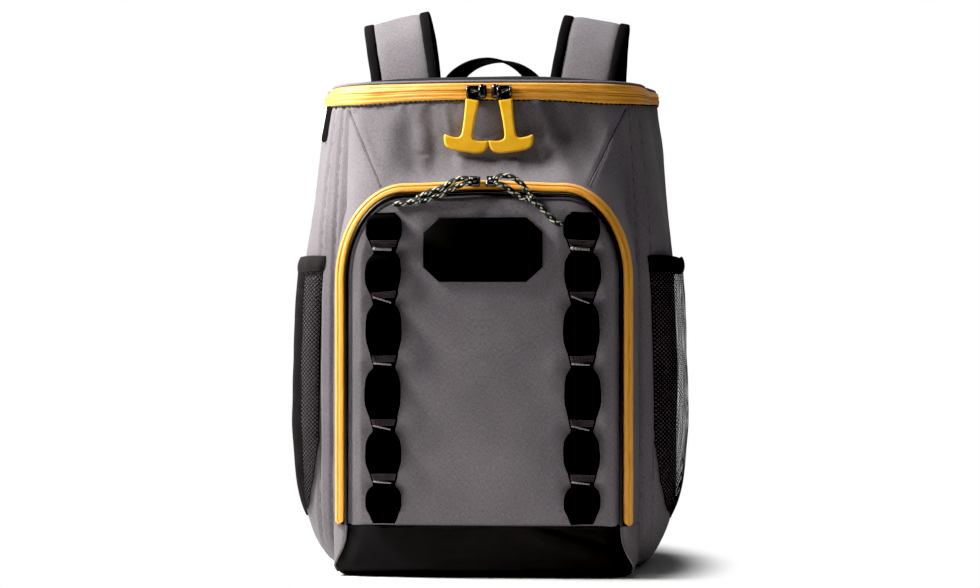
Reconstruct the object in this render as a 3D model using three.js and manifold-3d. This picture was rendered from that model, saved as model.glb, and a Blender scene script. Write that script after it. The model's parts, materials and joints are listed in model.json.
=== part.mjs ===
// A soft cooler backpack: padded tub with a zipped lid, arched front pocket, net side pockets and two straps.
// Millimetres, +Z up, the front faces -Y. The origin is the middle of the flat base.
import * as THREE from "three";
import { mergeVertices } from "three/addons/utils/BufferGeometryUtils.js";
import Module from "manifold-3d";

const wasm = await Module();
wasm.setup();

// Clearances
const seat = 0.3; // between pieces that touch
const clothSeat = 0.5; // between curved cloth pieces that touch

// Tub
const bodyTop = 424;
const bodyHalfWidth = 172;
const bodyFront = 70; // from the origin forward to the front face
const bodyBack = 95; // from the origin back to the rear face
const bodyCorner = 42; // radius of the upright corners
const bodyWall = 8;
const foldFade = 6; // the folds end this far under the lid's edge
const bodyTuck = 14; // how far front and back draw in at the floor
const sideCrown = 4; // how far the sides swell between their corners
const cornerSteps = 5;
const frontSteps = 12;
const sideSteps = 4;
const backSteps = 5;

// Lid and its zip
const zipHeight = 16;
const zipTape = 3;
const lidPlug = 10; // how far the padded lid reaches down inside the zip
const lidEdge = 4;
const lidDome = 9;
const bindingThickness = 2.2;

// Front pocket
const pocketBottom = 46.5;
const pocketTop = 349;
const pocketTopCrown = 2.5;
const pocketHalfWidth = 132; // outside of the zip
const pocketCornerWidth = 62;
const pocketCornerHeight = 86;
const pocketFlare = 6; // how much wider the pocket is where it meets the body
const pocketProud = 27; // from the body's front face to the outer edge of the zip
const pocketCloth = 2.5;
const pocketCrown = 8; // swelling of the panel
const pocketZipWidth = 8.5; // seen from the front
const pocketZipRise = 6; // how much further forward the zip's inner edge is
const pocketZipThickness = 2;
const pipingRadius = 1.5;

// Base panel
const bootHalfWidth = 132;
const bootTuck = 17;
const bootSheet = 2.6;
const bootRearEnd = 76;

// Webbing chains and badge
const chainX = 87.5;
const chainTop = 323;
const chainHalfWidth = 15.5;
const chainLift = 8;
const chainThickness = 1.6;
const badgeWidth = 105;
const badgeHeight = 57;
const badgeCornerX = 14;
const badgeCornerZ = 13;
const badgeThickness = 3;
const badgeZ = 290;

// Side pockets
const netBottom = 56;
const netTop = 272;
const netThickness = 1.6;
const netBulge = 10;
const netBindingHeight = 13;
const netBindingThickness = 2.4;

// Label tab
const tabTop = 421;
const tabLength = 34;
const tabThickness = 1.6;

// Top sliders and T pulls
const sliderMiddle = 3.7; // where the two top sliders meet, to the right of the bag's middle
const sliderX = 13.8; // from there to each pull
const sliderShift = 3; // how much nearer the middle the slider's plate is
const sliderWidth = 14;
const sliderHeight = 13;
const sliderPlate = 2.6;
const cheekThickness = 1.7;
const barRadius = 1.2;
const barStandoff = 3.6; // from the slider's plate to the middle of its bar
const eyeRadius = 3.1;
const pullEyeWidth = 8.6;
const pullLength = 50;
const pullHalfWidth = 19.2;
const pullThickness = 4.6;
const pullLeanLeft = 9.5; // degrees, foot to the left
const pullLeanRight = -9;

// Pocket sliders and cords
const pocketSliderX = 8;
const pocketSliderWidth = 11;
const pocketSliderHeight = 10;
const pocketSliderDepth = 4;
const cordDiameter = 3.6;
const knotRadius = 3.8;

// Back panel, loop and straps
const backPanelHalfWidth = 118;
const backPanelBottom = 32;
const backPanelTop = 411;
const backPanelThickness = 12;
const backPanelCorner = 34;
const backPanelRound = 8; // how far its rear face draws in from its edge
const loopWidth = 25;
const loopShift = -2.5;
const loopThickness = 2.4;
const loopHalfSpan = 33.5;
const loopReach = 8; // how far its crown stands behind the back
const loopRise = 57.5;
const strapThickness = 11;
const strapHalfWidth = 34;
const strapReach = 95; // how far the strap's arc stands behind the back
const strapBinding = 10;
const lockWidth = 34;
const lockHeight = 24;
const lockThickness = 5;
const lockSlot = 3.6;
const strapWebbing = 25;
const webbingThickness = 1.8;
const webbingFootRise = 20; // from the back panel's lower edge up to the webbing's sewn end
const webbingSag = 4;

const colours = {
  cloth: 0x807b7c,
  black: 0x191818,
  orange: 0xf2a32a,
  net: 0x2a2628,
};

// Heights, widths and the draw-in at the floor, as shares of bodyTop, bodyHalfWidth and bodyTuck.
const bodySections = [
  { height: 0.007, width: 0.837, tuck: 1 },
  { height: 0.021, width: 0.868, tuck: 0.55 },
  { height: 0.047, width: 0.91, tuck: 0.22 },
  { height: 0.09, width: 0.954, tuck: 0.05 },
  { height: 0.146, width: 0.988, tuck: 0 },
  { height: 0.25, width: 1, tuck: 0 },
  { height: 0.4, width: 1, tuck: 0 },
  { height: 0.56, width: 0.992, tuck: 0 },
  { height: 0.71, width: 0.973, tuck: 0 },
  { height: 0.83, width: 0.945, tuck: 0 },
  { height: 0.93, width: 0.915, tuck: 0 },
  { height: 1, width: 0.89, tuck: 0 },
  { height: 1.06, width: 0.878, tuck: 0 },
];

// Soft upright folds under the lid: place and reach as shares of bodyHalfWidth, depth in millimetres.
const frontFolds = [
  { place: -0.4, reach: 0.1, depth: 2.2 },
  { place: -0.12, reach: 0.12, depth: -1.6 },
  { place: 0.3, reach: 0.12, depth: 2 },
];

// Base panel, from the pocket down: shares of pocketBottom, bootTuck and bootHalfWidth.
const bootSections = [
  { height: 1, tuck: 0, width: 0.915 },
  { height: 0.65, tuck: 0.02, width: 0.93 },
  { height: 0.4, tuck: 0.08, width: 0.968 },
  { height: 0.22, tuck: 0.24, width: 1 },
  { height: 0.08, tuck: 0.55, width: 0.985 },
  { height: 0, tuck: 1, width: 0.95 },
];

// Where the webbing is sewn down, as shares of the chain's length from the top.
const chainTacks = [0, 0.125, 0.29, 0.495, 0.7, 0.875, 1];
// One loop between two tacks: how far along, how far it stands out and how wide it is.
const chainLoop = [
  { along: 0.1, lift: 0, width: 0.62 },
  { along: 0.2, lift: 0.55, width: 0.84 },
  { along: 0.38, lift: 0.95, width: 1 },
  { along: 0.58, lift: 1, width: 1 },
  { along: 0.76, lift: 0.72, width: 0.86 },
  { along: 0.9, lift: 0, width: 0.62 },
];

// Outline of half a T pull, from its eye down: shares of pullHalfWidth and of pullLength.
const pullOutline = [
  { across: 0.34, down: 0.03 },
  { across: 0.34, down: 0.12 },
  { across: 0.25, down: 0.4 },
  { across: 0.26, down: 0.62 },
  { across: 0.4, down: 0.72 },
  { across: 0.72, down: 0.71 },
  { across: 0.94, down: 0.655 },
  { across: 1, down: 0.69 },
  { across: 0.97, down: 0.86 },
  { across: 0.6, down: 0.97 },
];

// Path of the left strap from the middle of the bag's top rear edge, as shares of bodyHalfWidth,
// strapReach and bodyTop. The width is a share of strapHalfWidth and the tilt is in degrees.
const strapPath = [
  { side: -0.5, behind: 0.0737, up: -0.0283, width: 1, tilt: 5 },
  { side: -0.5058, behind: 0.0947, up: 0.0472, width: 1, tilt: 10 },
  { side: -0.5349, behind: 0.1474, up: 0.1226, width: 1, tilt: 13 },
  { side: -0.564, behind: 0.2526, up: 0.1887, width: 1, tilt: 13 },
  { side: -0.5872, behind: 0.4421, up: 0.2311, width: 1, tilt: 13 },
  { side: -0.5872, behind: 0.6737, up: 0.2264, width: 1, tilt: 12 },
  { side: -0.5698, behind: 0.8632, up: 0.1792, width: 1, tilt: 9 },
  { side: -0.5523, behind: 0.9684, up: 0.0943, width: 1, tilt: 5 },
  { side: -0.5407, behind: 1, up: -0.0236, width: 1, tilt: 2 },
  { side: -0.5349, behind: 0.9789, up: -0.1651, width: 0.98, tilt: 0 },
  { side: -0.5465, behind: 0.9053, up: -0.3066, width: 0.92, tilt: 0 },
  { side: -0.5756, behind: 0.8105, up: -0.4363, width: 0.84, tilt: 0 },
  { side: -0.6047, behind: 0.7158, up: -0.5377, width: 0.74, tilt: 0 },
];

// Haul loop, from its left foot to its crown, as shares of loopHalfSpan, loopReach and loopRise, with
// how far the webbing has turned on edge in degrees.
const loopPath = [
  { side: -0.9851, behind: 0.2375, up: -0.2087, turn: 0 },
  { side: -1, behind: 0.325, up: 0.2087, turn: 2 },
  { side: -0.9851, behind: 0.625, up: 0.5217, turn: 12 },
  { side: -0.7761, behind: 0.9375, up: 0.8, turn: 42 },
  { side: -0.4179, behind: 1, up: 0.9478, turn: 68 },
  { side: 0, behind: 1, up: 1, turn: 84 },
];

// Left cord pull, chosen by hand: millimetres from the left pocket slider's front, x to the right and z up.
const cordRoutes = {
  left_upper: [
    [-3, -4.1, 1.5],
    [-9, -4, 2.2],
    [-17, -4, 0.6],
    [-28, -3.6, -6],
    [-38, -3.4, -9],
    [-46.4, -3.2, -13.4],
  ],
  left_lower: [
    [-3, -5, -2.4],
    [-9, -5, -3],
    [-17, -3.8, -5.6],
    [-27, -3.6, -11],
    [-37, -3.4, -14.5],
    [-45.2, -3.2, -17.3],
  ],
  left_tail: [
    [-52.2, -3.2, -17.3],
    [-58, -3, -19],
    [-64, -2.6, -19.6],
    [-70.5, -2.4, -20.2],
  ],
  right_upper: [
    [3, -4.1, 2],
    [9, -4.2, 4.6],
    [17, -4.2, 3.4],
    [25, -3.8, -1.5],
    [32.9, -3.4, -11.3],
  ],
  right_lower: [
    [3, -5, -2.4],
    [10, -5, -4],
    [18, -3.4, -9.5],
    [25, -3.2, -14],
    [31.2, -3.2, -15.4],
  ],
  right_tail: [
    [36.8, -3.2, -18],
    [43.5, -3, -24],
    [50, -2.6, -30.5],
    [55.5, -2.4, -36],
    [61, -2.2, -38.5],
  ],
};
const knotPlaces = { left: [-49, -3.2, -16], right: [34.6, -3.3, -14.9] };

const group = new THREE.Group();

function material(colour, roughness = 0.9) {
  return new THREE.MeshStandardMaterial({ color: colour, roughness, metalness: 0 });
}

function add(name, geometry, colour, roughness) {
  const mesh = new THREE.Mesh(geometry, material(colour, roughness));
  mesh.name = name;
  group.add(mesh);
  return mesh;
}

// A closed body from points and triangles, with its faces turned outwards.
function solid(points, faces) {
  const key = (p) => p.map((v) => v.toFixed(4)).join(",");
  const seen = new Map();
  const index = points.map((p) => {
    if (!seen.has(key(p))) seen.set(key(p), seen.size);
    return seen.get(key(p));
  });
  const unique = [...seen.keys()].map((k) => k.split(",").map(Number));
  const kept = faces
    .map((face) => face.map((i) => index[i]))
    .filter(([a, b, c]) => a !== b && b !== c && a !== c);
  let volume = 0;
  for (const [a, b, c] of kept) {
    const [p, q, r] = [a, b, c].map((i) => new THREE.Vector3(...unique[i]));
    volume += p.dot(q.cross(r));
  }
  if (volume < 0) for (const face of kept) face.reverse();
  const geometry = new THREE.BufferGeometry();
  geometry.setAttribute("position", new THREE.Float32BufferAttribute(unique.flat(), 3));
  geometry.setIndex(kept.flat());
  geometry.computeVertexNormals();
  return geometry;
}

// Joins rings of as many points each. Open ends are closed by a fan, unless the last ring meets the first.
function loft(rings, endless = false) {
  const count = rings[0].length;
  const points = rings.flat();
  const faces = [];
  const strips = endless ? rings.length : rings.length - 1;
  for (let i = 0; i < strips; i++) {
    const low = i * count;
    const high = ((i + 1) % rings.length) * count;
    for (let j = 0; j < count; j++) {
      const k = (j + 1) % count;
      faces.push([low + j, low + k, high + k], [low + j, high + k, high + j]);
    }
  }
  if (endless) return solid(points, faces);
  for (const [start, first] of [[0, true], [(rings.length - 1) * count, false]]) {
    const middle = [0, 1, 2].map(
      (axis) => points.slice(start, start + count).reduce((sum, p) => sum + p[axis], 0) / count,
    );
    points.push(middle);
    for (let j = 0; j < count; j++) {
      const k = (j + 1) % count;
      const [a, b] = first ? [k, j] : [j, k];
      faces.push([start + a, start + b, points.length - 1]);
    }
  }
  return solid(points, faces);
}

// A sheet with thickness, between two grids of the same size.
function slab(outer, inner) {
  const rows = outer.length - 1;
  const cols = outer[0].length - 1;
  const points = [...outer.flat(), ...inner.flat()];
  const at = (side, i, j) => (side * (rows + 1) + i) * (cols + 1) + j;
  const faces = [];
  const quad = (a, b, c, d) => faces.push([a, b, c], [a, c, d]);
  for (let i = 0; i < rows; i++) {
    for (let j = 0; j < cols; j++) {
      quad(at(0, i, j), at(0, i, j + 1), at(0, i + 1, j + 1), at(0, i + 1, j));
      quad(at(1, i, j), at(1, i + 1, j), at(1, i + 1, j + 1), at(1, i, j + 1));
    }
    quad(at(0, i, 0), at(0, i + 1, 0), at(1, i + 1, 0), at(1, i, 0));
    quad(at(0, i, cols), at(1, i, cols), at(1, i + 1, cols), at(0, i + 1, cols));
  }
  for (let j = 0; j < cols; j++) {
    quad(at(0, 0, j), at(1, 0, j), at(1, 0, j + 1), at(0, 0, j + 1));
    quad(at(0, rows, j), at(0, rows, j + 1), at(1, rows, j + 1), at(1, rows, j));
  }
  return solid(points, faces);
}

function mirrored(geometry) {
  const copy = geometry.clone().applyMatrix4(new THREE.Matrix4().makeScale(-1, 1, 1));
  const index = copy.index.array;
  for (let i = 0; i < index.length; i += 3) [index[i], index[i + 1]] = [index[i + 1], index[i]];
  return copy;
}

function manifold(geometry) {
  const bare = geometry.clone();
  bare.deleteAttribute("normal");
  bare.deleteAttribute("uv");
  const merged = mergeVertices(bare, 1e-4);
  return new wasm.Manifold(
    new wasm.Mesh({
      numProp: 3,
      vertProperties: merged.attributes.position.array,
      triVerts: new Uint32Array(merged.index.array),
    }),
  );
}

function fromManifold(body) {
  const mesh = body.getMesh();
  const geometry = new THREE.BufferGeometry();
  geometry.setAttribute("position", new THREE.BufferAttribute(mesh.vertProperties, 3));
  geometry.setIndex(new THREE.BufferAttribute(mesh.triVerts, 1));
  geometry.computeVertexNormals();
  return geometry;
}

function tube(points, radius, steps, sides) {
  const path = new THREE.CatmullRomCurve3(points.map((p) => new THREE.Vector3(...p)));
  const section = new THREE.Shape();
  for (let i = 0; i < sides; i++) {
    const angle = (i / sides) * 2 * Math.PI;
    const [u, v] = [radius * Math.cos(angle), radius * Math.sin(angle)];
    if (i === 0) section.moveTo(u, v);
    else section.lineTo(u, v);
  }
  section.closePath();
  return new THREE.ExtrudeGeometry(section, { steps, extrudePath: path, bevelEnabled: false });
}

const mix = (a, b, t) => a + (b - a) * t;

// The row of a table at a given value of one of its columns, with the others worked out between rows.
function lookUp(table, column, value) {
  const last = table.length - 1;
  let i = 0;
  while (i < last - 1 && table[i + 1][column] < value) i++;
  const t = (value - table[i][column]) / (table[i + 1][column] - table[i][column]);
  const row = {};
  for (const name of Object.keys(table[i])) row[name] = mix(table[i][name], table[i + 1][name], t);
  return row;
}

function bodyAt(z) {
  const row = lookUp(bodySections, "height", z / bodyTop);
  return {
    halfWidth: row.width * bodyHalfWidth,
    front: -bodyFront + row.tuck * bodyTuck,
    back: bodyBack - row.tuck * bodyTuck,
  };
}

// How far the front draws in or stands out at a place under the lid.
function foldDepth(x, z) {
  const fade = THREE.MathUtils.smoothstep(z, pocketTop + pocketFlare, bodyTop - zipHeight);
  let depth = 0;
  for (const fold of frontFolds) {
    const away = (x / bodyHalfWidth - fold.place) / fold.reach;
    depth += fold.depth * Math.exp(-away * away);
  }
  return depth * fade * (1 - THREE.MathUtils.smoothstep(z, bodyTop - foldFade, bodyTop));
}

// One level of the body, anticlockwise from above, starting at the left side of the front left corner.
function bodyRing(z, offset = 0) {
  const { halfWidth, front, back } = bodyAt(z);
  const [a, low, high] = [halfWidth + offset, front - offset, back + offset];
  const r = bodyCorner + offset;
  const ring = [];
  const corner = (x, y, from) => {
    for (let i = 0; i <= cornerSteps; i++) {
      const angle = ((from + (90 * i) / cornerSteps) * Math.PI) / 180;
      ring.push([x + r * Math.cos(angle), y + r * Math.sin(angle), z]);
    }
  };
  const side = (sign) => {
    for (let i = 1; i < sideSteps; i++) {
      const t = (2 * i) / sideSteps - 1;
      const y = mix(low + r, high - r, (1 + sign * t) / 2);
      ring.push([sign * (a + sideCrown * (1 - t * t)), y, z]);
    }
  };
  corner(-a + r, low + r, 180);
  for (let i = 1; i < frontSteps; i++) {
    const x = mix(-a + r, a - r, i / frontSteps);
    ring.push([x, low + foldDepth(x, z), z]);
  }
  corner(a - r, low + r, 270);
  side(1);
  corner(a - r, high - r, 0);
  for (let i = 1; i < backSteps; i++) ring.push([mix(a - r, -a + r, i / backSteps), high, z]);
  corner(-a + r, high - r, 90);
  side(-1);
  return ring;
}

// A point on the body's surface: place counts ring points round from the front left corner.
function bodyPoint(z, place, offset) {
  const ring = bodyRing(z, offset);
  const wrapped = ((place % ring.length) + ring.length) % ring.length;
  const i = Math.floor(wrapped);
  return ring[i].map((v, axis) => mix(v, ring[(i + 1) % ring.length][axis], wrapped - i));
}

// Even levels between two heights, together with the body's own.
function bodyLevels(low, high, count) {
  const own = bodySections.map((row) => row.height * bodyTop).filter((z) => z > low && z < high);
  const even = Array.from({ length: count + 1 }, (_, i) => mix(low, high, i / count));
  const clear = (high - low) / count / 3;
  const apart = (z) => own.every((level) => Math.abs(level - z) > clear);
  const kept = even.filter((z, i) => i === 0 || i === count || apart(z));
  return [...kept, ...own].sort((a, b) => a - b);
}

const frontRightCorner = cornerSteps + frontSteps;
const backRightCorner = frontRightCorner + cornerSteps + sideSteps;
const backLeftCorner = backRightCorner + cornerSteps + backSteps;
const ringCount = backLeftCorner + cornerSteps + sideSteps;

// Where the body's front or rounded corner lies at a distance from the middle.
function bodyFrontY(x, z) {
  const { halfWidth, front } = bodyAt(z);
  const past = Math.min(Math.max(Math.abs(x) - (halfWidth - bodyCorner), 0), bodyCorner);
  return front + bodyCorner - Math.sqrt(bodyCorner ** 2 - past ** 2);
}

const pocketEdgeY = -bodyFront - pocketProud;
const pocketFaceY = pocketEdgeY - pocketZipRise;
const panelHalfWidth = pocketHalfWidth - pocketZipWidth;

// The swelling front of the pocket, and of the base panel below it.
function pocketFrontY(x, z) {
  const rise = THREE.MathUtils.clamp((z - pocketBottom) / (pocketTop - pocketZipWidth - pocketBottom), 0, 1);
  const across = 1 - Math.min(Math.abs(x / panelHalfWidth), 1) ** 4;
  const along = 1 - Math.abs((rise - 0.35) / 0.65) ** 3;
  return pocketFaceY - pocketCrown * across * along;
}

// The pocket's arch from its left foot to its right foot, drawn in by an inset.
function arch(inset, top = pocketTop) {
  const half = pocketHalfWidth - inset;
  const [rx, rz] = [pocketCornerWidth - inset, pocketCornerHeight - inset];
  const high = top - inset;
  const points = [];
  for (let i = 0; i < 4; i++) points.push([-half, mix(pocketBottom, high - rz, i / 4)]);
  for (let i = 0; i <= 7; i++) {
    const angle = (i / 7) * (Math.PI / 2);
    points.push([-half + rx * (1 - Math.cos(angle)), high - rz * (1 - Math.sin(angle))]);
  }
  points.push([0, high + pocketTopCrown]);
  return [...points, ...points.slice(0, -1).reverse().map(([x, z]) => [-x, z])];
}

function bodyShell() {
  const heights = bodySections.filter((row) => row.height <= 1).map((row) => row.height * bodyTop);
  const outer = heights.map((z) => bodyRing(z));
  const floorLevel = heights[0] + bodyWall;
  const innerHeights = [floorLevel, ...heights.filter((z, i) => z > floorLevel + bodyWall && i % 2 === 0)];
  if (innerHeights.at(-1) < bodyTop) innerHeights.push(bodyTop);
  const inner = innerHeights.map((z) => bodyRing(z, -bodyWall));
  add("body_shell", loft([...outer, ...inner.reverse()]), colours.cloth);
}

const zipBottom = bodyTop + seat;
const zipTop = zipBottom + zipHeight;
const lidLevel = zipTop + seat;

function lidAndBinding() {
  const plug = -zipTape - seat;
  const flange = -bindingThickness - seat;
  const shrink = (share, rise) => {
    const ring = bodyRing(lidLevel, flange);
    const middle = (bodyBack - bodyFront) / 2;
    return ring.map(([x, y]) => [x * share, middle + (y - middle) * share, lidLevel + lidEdge + rise]);
  };
  const level = (z, offset, at) => bodyRing(z, offset).map(([x, y]) => [x, y, at]);
  const rings = [
    level(zipTop, plug - 1, zipTop - lidPlug),
    level(zipTop, plug, lidLevel),
    level(lidLevel, flange, lidLevel),
    shrink(1, 0),
    shrink(0.9, lidDome * 0.45),
    shrink(0.62, lidDome * 0.88),
    shrink(0.3, lidDome),
  ];
  add("lid", loft(rings), colours.black);
  const binding = [
    level(lidLevel, 0, lidLevel),
    level(lidLevel, 0, lidLevel + lidEdge),
    level(lidLevel, -bindingThickness, lidLevel + lidEdge),
    level(lidLevel, -bindingThickness, lidLevel),
  ];
  add("lid_binding", loft(binding, true), colours.black);
}

// A strip of the body's surface between two places and two heights, as a sheet of cloth.
function strip(from, to, heights, inner, outer) {
  const places = [from];
  for (let place = Math.floor(from + 1); place < to; place++) places.push(place);
  places.push(to);
  const grid = (offset) =>
    heights.map((z) => places.map((place) => bodyPoint(z, place, offset(place, z))));
  return slab(grid(outer), grid(inner));
}

function zipAndHinge() {
  const heights = [zipBottom, mix(zipBottom, zipTop, 0.5), zipTop];
  const start = backLeftCorner + cornerSteps - 1;
  const end = ringCount + backRightCorner + 1;
  const coil = (place, z) => (z > zipBottom && z < zipTop ? 1.2 : 0);
  const inside = () => -zipTape;
  add("top_zip_band", strip(start, end, heights, inside, coil), colours.orange, 0.7);
  const gap = 0.08; // of a ring step
  add(
    "lid_hinge",
    strip(end - ringCount + gap, start - gap, [zipBottom, zipTop], inside, () => 0),
    colours.cloth,
  );
}

function frontPocket() {
  const cloth = pocketCloth;
  const ring = (inset, depth) => arch(inset).map(([x, z]) => [x, depth(x, z), z]);
  const shrunk = (share, thickness) =>
    arch(pocketZipWidth + thickness).map(([x, z]) => {
      const [px, pz] = [x * share, mix(pocketBottom, z, share)];
      return [px, pocketFrontY(px, pz) + thickness, pz];
    });
  const rim = (x, z) => Math.min(bodyFrontY(x, z), bodyFrontY(x * 0.97, z)) - clothSeat;
  const outer = [
    ring(-pocketFlare, rim),
    ring(-pocketFlare * 0.3, () => pocketEdgeY + pocketFlare),
    ring(0, () => pocketEdgeY),
    ring(pocketZipWidth, () => pocketFaceY),
    ...[0.8, 0.52, 0.25, 0].map((share) => shrunk(share, 0)),
  ];
  const inner = [
    ring(-pocketFlare + cloth, rim),
    ring(-pocketFlare * 0.3 + cloth, () => pocketEdgeY + pocketFlare),
    ring(cloth, () => pocketEdgeY + cloth * 0.56),
    ring(pocketZipWidth + cloth, () => pocketFaceY + cloth),
    ...[0.8, 0.52, 0.25, 0].map((share) => shrunk(share, cloth)),
  ];
  add("front_pocket", slab(outer, inner), colours.cloth);
}

// The direction that the pocket's sloping edge faces: sideways and forward.
const slope = Math.hypot(pocketZipWidth, pocketZipRise);
const slopeOut = pocketZipRise / slope;
const slopeForward = pocketZipWidth / slope;

function pocketZip() {
  const row = (share, lift) => {
    const inset = pocketZipWidth * share - slopeOut * lift;
    const y = pocketEdgeY - pocketZipRise * share - slopeForward * lift;
    return arch(inset).map(([x, z]) => [x, y, z]);
  };
  const shares = [0.02, 0.35, 0.65, 0.98];
  const coil = [0, 1, 1, 0];
  const outer = shares.map((share, i) => row(share, seat + pocketZipThickness + coil[i]));
  const inner = shares.map((share) => row(share, seat));
  add("pocket_zip", slab(outer, inner), colours.orange, 0.7);
  const pipe = arch(pocketZipWidth + pipingRadius + 0.6).map(([x, z]) => [
    x,
    pocketFaceY - pipingRadius - clothSeat - 0.6,
    z,
  ]);
  add("pocket_piping", tube(pipe, pipingRadius, 34, 6), colours.black);
}

function baseBoot() {
  const across = [-1, -0.8, -0.4, 0, 0.4, 0.8, 1];
  const profile = bootSections.map((row) => ({
    z: row.height * (pocketBottom - seat),
    back: row.tuck * bootTuck,
    half: row.width * bootHalfWidth,
  }));
  const floorHalf = profile.at(-1).half;
  const point = (row, share) => {
    const x = share * row.half;
    return [x, pocketFrontY((x / row.half) * panelHalfWidth, pocketBottom) + row.back, row.z];
  };
  const outer = profile.map((row) => across.map((share) => point(row, share)));
  const rear = [
    { y: bodyBack * 0.1, z: 0, half: floorHalf },
    { y: bootRearEnd, z: 0, half: floorHalf * 0.98 },
  ];
  for (const row of rear) outer.push(across.map((share) => [share * row.half, row.y, row.z]));
  const inner = outer.map((row, i) => {
    const before = outer[Math.max(i - 1, 0)][3];
    const after = outer[Math.min(i + 1, outer.length - 1)][3];
    const [dy, dz] = [after[1] - before[1], after[2] - before[2]];
    const long = Math.hypot(dy, dz);
    return row.map(([x, y, z]) => [x, y - (dz / long) * bootSheet, z + (dy / long) * bootSheet]);
  });
  add("base_boot", slab(outer, inner), colours.black);
  const seam = pocketHalfWidth + pocketFlare;
  const rows = (thickness) =>
    profile.slice(0, 4).map((row) => {
      const start = [row.half + 2 * clothSeat, pocketFaceY + row.back + 2 + thickness];
      const end = [seam, bodyFrontY(seam, row.z) - 2 * clothSeat - pocketCloth + thickness];
      const stops = [0, 0.3, 0.65, 1];
      return stops.map((t) => [mix(start[0], end[0], t ** 0.6), mix(start[1], end[1], t), row.z]);
    });
  const gusset = slab(rows(0), rows(pocketCloth));
  add("corner_gusset_right", gusset, colours.cloth);
  add("corner_gusset_left", mirrored(gusset), colours.cloth);
}

function webbingChains() {
  const bottom = pocketBottom + 2;
  const length = chainTop - bottom;
  const stations = [{ along: 0, lift: 0, width: 0.62 }];
  for (let i = 0; i < chainTacks.length - 1; i++) {
    for (const row of chainLoop) {
      stations.push({ ...row, along: mix(chainTacks[i], chainTacks[i + 1], row.along) });
    }
  }
  stations.push({ along: 1, lift: 0, width: 0.62 });
  const grid = (extra) =>
    stations.map((row) => {
      const z = chainTop - row.along * length;
      return [-1, 1].map((sign) => {
        const x = -chainX + sign * row.width * chainHalfWidth;
        const y = Math.min(pocketFrontY(x, z), pocketFrontY(-chainX, z));
        return [x, y - clothSeat - 0.3 - row.lift * chainLift - extra, z];
      });
    });
  const chain = slab(grid(chainThickness), grid(0));
  add("webbing_chain_left", chain, colours.black);
  add("webbing_chain_right", mirrored(chain), colours.black);
}

function badge() {
  const [w, h] = [badgeWidth / 2, badgeHeight / 2];
  const outline = [
    [w, h - badgeCornerZ],
    [w - badgeCornerX, h],
    [-w + badgeCornerX, h],
    [-w, h - badgeCornerZ],
    [-w, -h + badgeCornerZ],
    [-w + badgeCornerX, -h],
    [w - badgeCornerX, -h],
    [w, -h + badgeCornerZ],
  ];
  const [top, bottom] = [pocketFrontY(0, badgeZ + h), pocketFrontY(0, badgeZ - h)];
  const level = (inset, depth) =>
    outline.map(([x, z]) => {
      const back = mix(bottom, top, (z + h) / (2 * h)) - 2 * clothSeat;
      return [x * (1 - inset / w), back - depth, badgeZ + z * (1 - inset / h)];
    });
  const bevel = 0.8;
  const levels = [level(0, 0), level(0, badgeThickness - bevel), level(bevel, badgeThickness)];
  add("badge", loft(levels), colours.black, 0.6);
}

function sidePockets() {
  const from = backLeftCorner + cornerSteps - 2;
  const to = ringCount + 2.8;
  const heights = bodyLevels(netBottom, netTop, 9);
  const bulge = (place, z) => {
    const along = Math.sin(Math.PI * THREE.MathUtils.clamp((place - from) / (to - from), 0, 1)) ** 0.55;
    const up = (z - netBottom) / (netTop - netBottom);
    const rise = Math.sin(Math.min(up * 2.2, 1) * (Math.PI / 2)) ** 0.8 * mix(1, 0.8, up);
    return clothSeat + netBulge * along * rise;
  };
  const net = strip(from, to, heights, bulge, (place, z) => bulge(place, z) + netThickness);
  add("mesh_pocket_left", net, colours.net);
  add("mesh_pocket_right", mirrored(net), colours.net);
  const mouth = (place) => bulge(place, netTop);
  const lip = strip(
    from,
    to,
    [netTop + seat, netTop + seat + netBindingHeight],
    mouth,
    (place) => mouth(place) + netBindingThickness,
  );
  add("mesh_binding_left", lip, colours.black);
  add("mesh_binding_right", mirrored(lip), colours.black);
  const tab = strip(
    1.6,
    2.5,
    [tabTop - tabLength, tabTop - tabLength / 2, tabTop],
    () => clothSeat,
    () => clothSeat + tabThickness,
  );
  add("label_tab", tab, colours.black);
}

const lay = (geometry, x, y, z) => geometry.translate(x, y, z);
const barAcross = (radius, length, sides) =>
  new THREE.CylinderGeometry(radius, radius, length, sides).rotateZ(Math.PI / 2);

const sliderFace = -bodyFront - 1.2 - clothSeat; // just off the coil of the zip
const sliderZ = mix(zipBottom, zipTop, 0.5);
const barY = sliderFace - sliderPlate - barStandoff;

function topSlider(name, x) {
  const plate = new THREE.BoxGeometry(sliderWidth - 2, sliderPlate, sliderHeight);
  let body = manifold(lay(plate, -Math.sign(x) * sliderShift, sliderFace - sliderPlate / 2, sliderZ));
  const reach = sliderPlate + barStandoff + eyeRadius;
  const cheekX = pullEyeWidth / 2 + clothSeat + cheekThickness / 2;
  for (const sign of [-1, 1]) {
    const cheek = barAcross(barStandoff + 1.4, cheekThickness, 14);
    cheek.scale(1, reach / (2 * (barStandoff + 1.4)), 1);
    lay(cheek, sign * cheekX, sliderFace - reach / 2 - 0.2, sliderZ);
    body = body.add(manifold(cheek));
  }
  const bar = lay(barAcross(barRadius, 2 * cheekX, 12), 0, barY, sliderZ);
  body = body.add(manifold(bar));
  const mesh = add(name, fromManifold(body), colours.black, 0.4);
  mesh.position.x = x;
}

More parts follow.
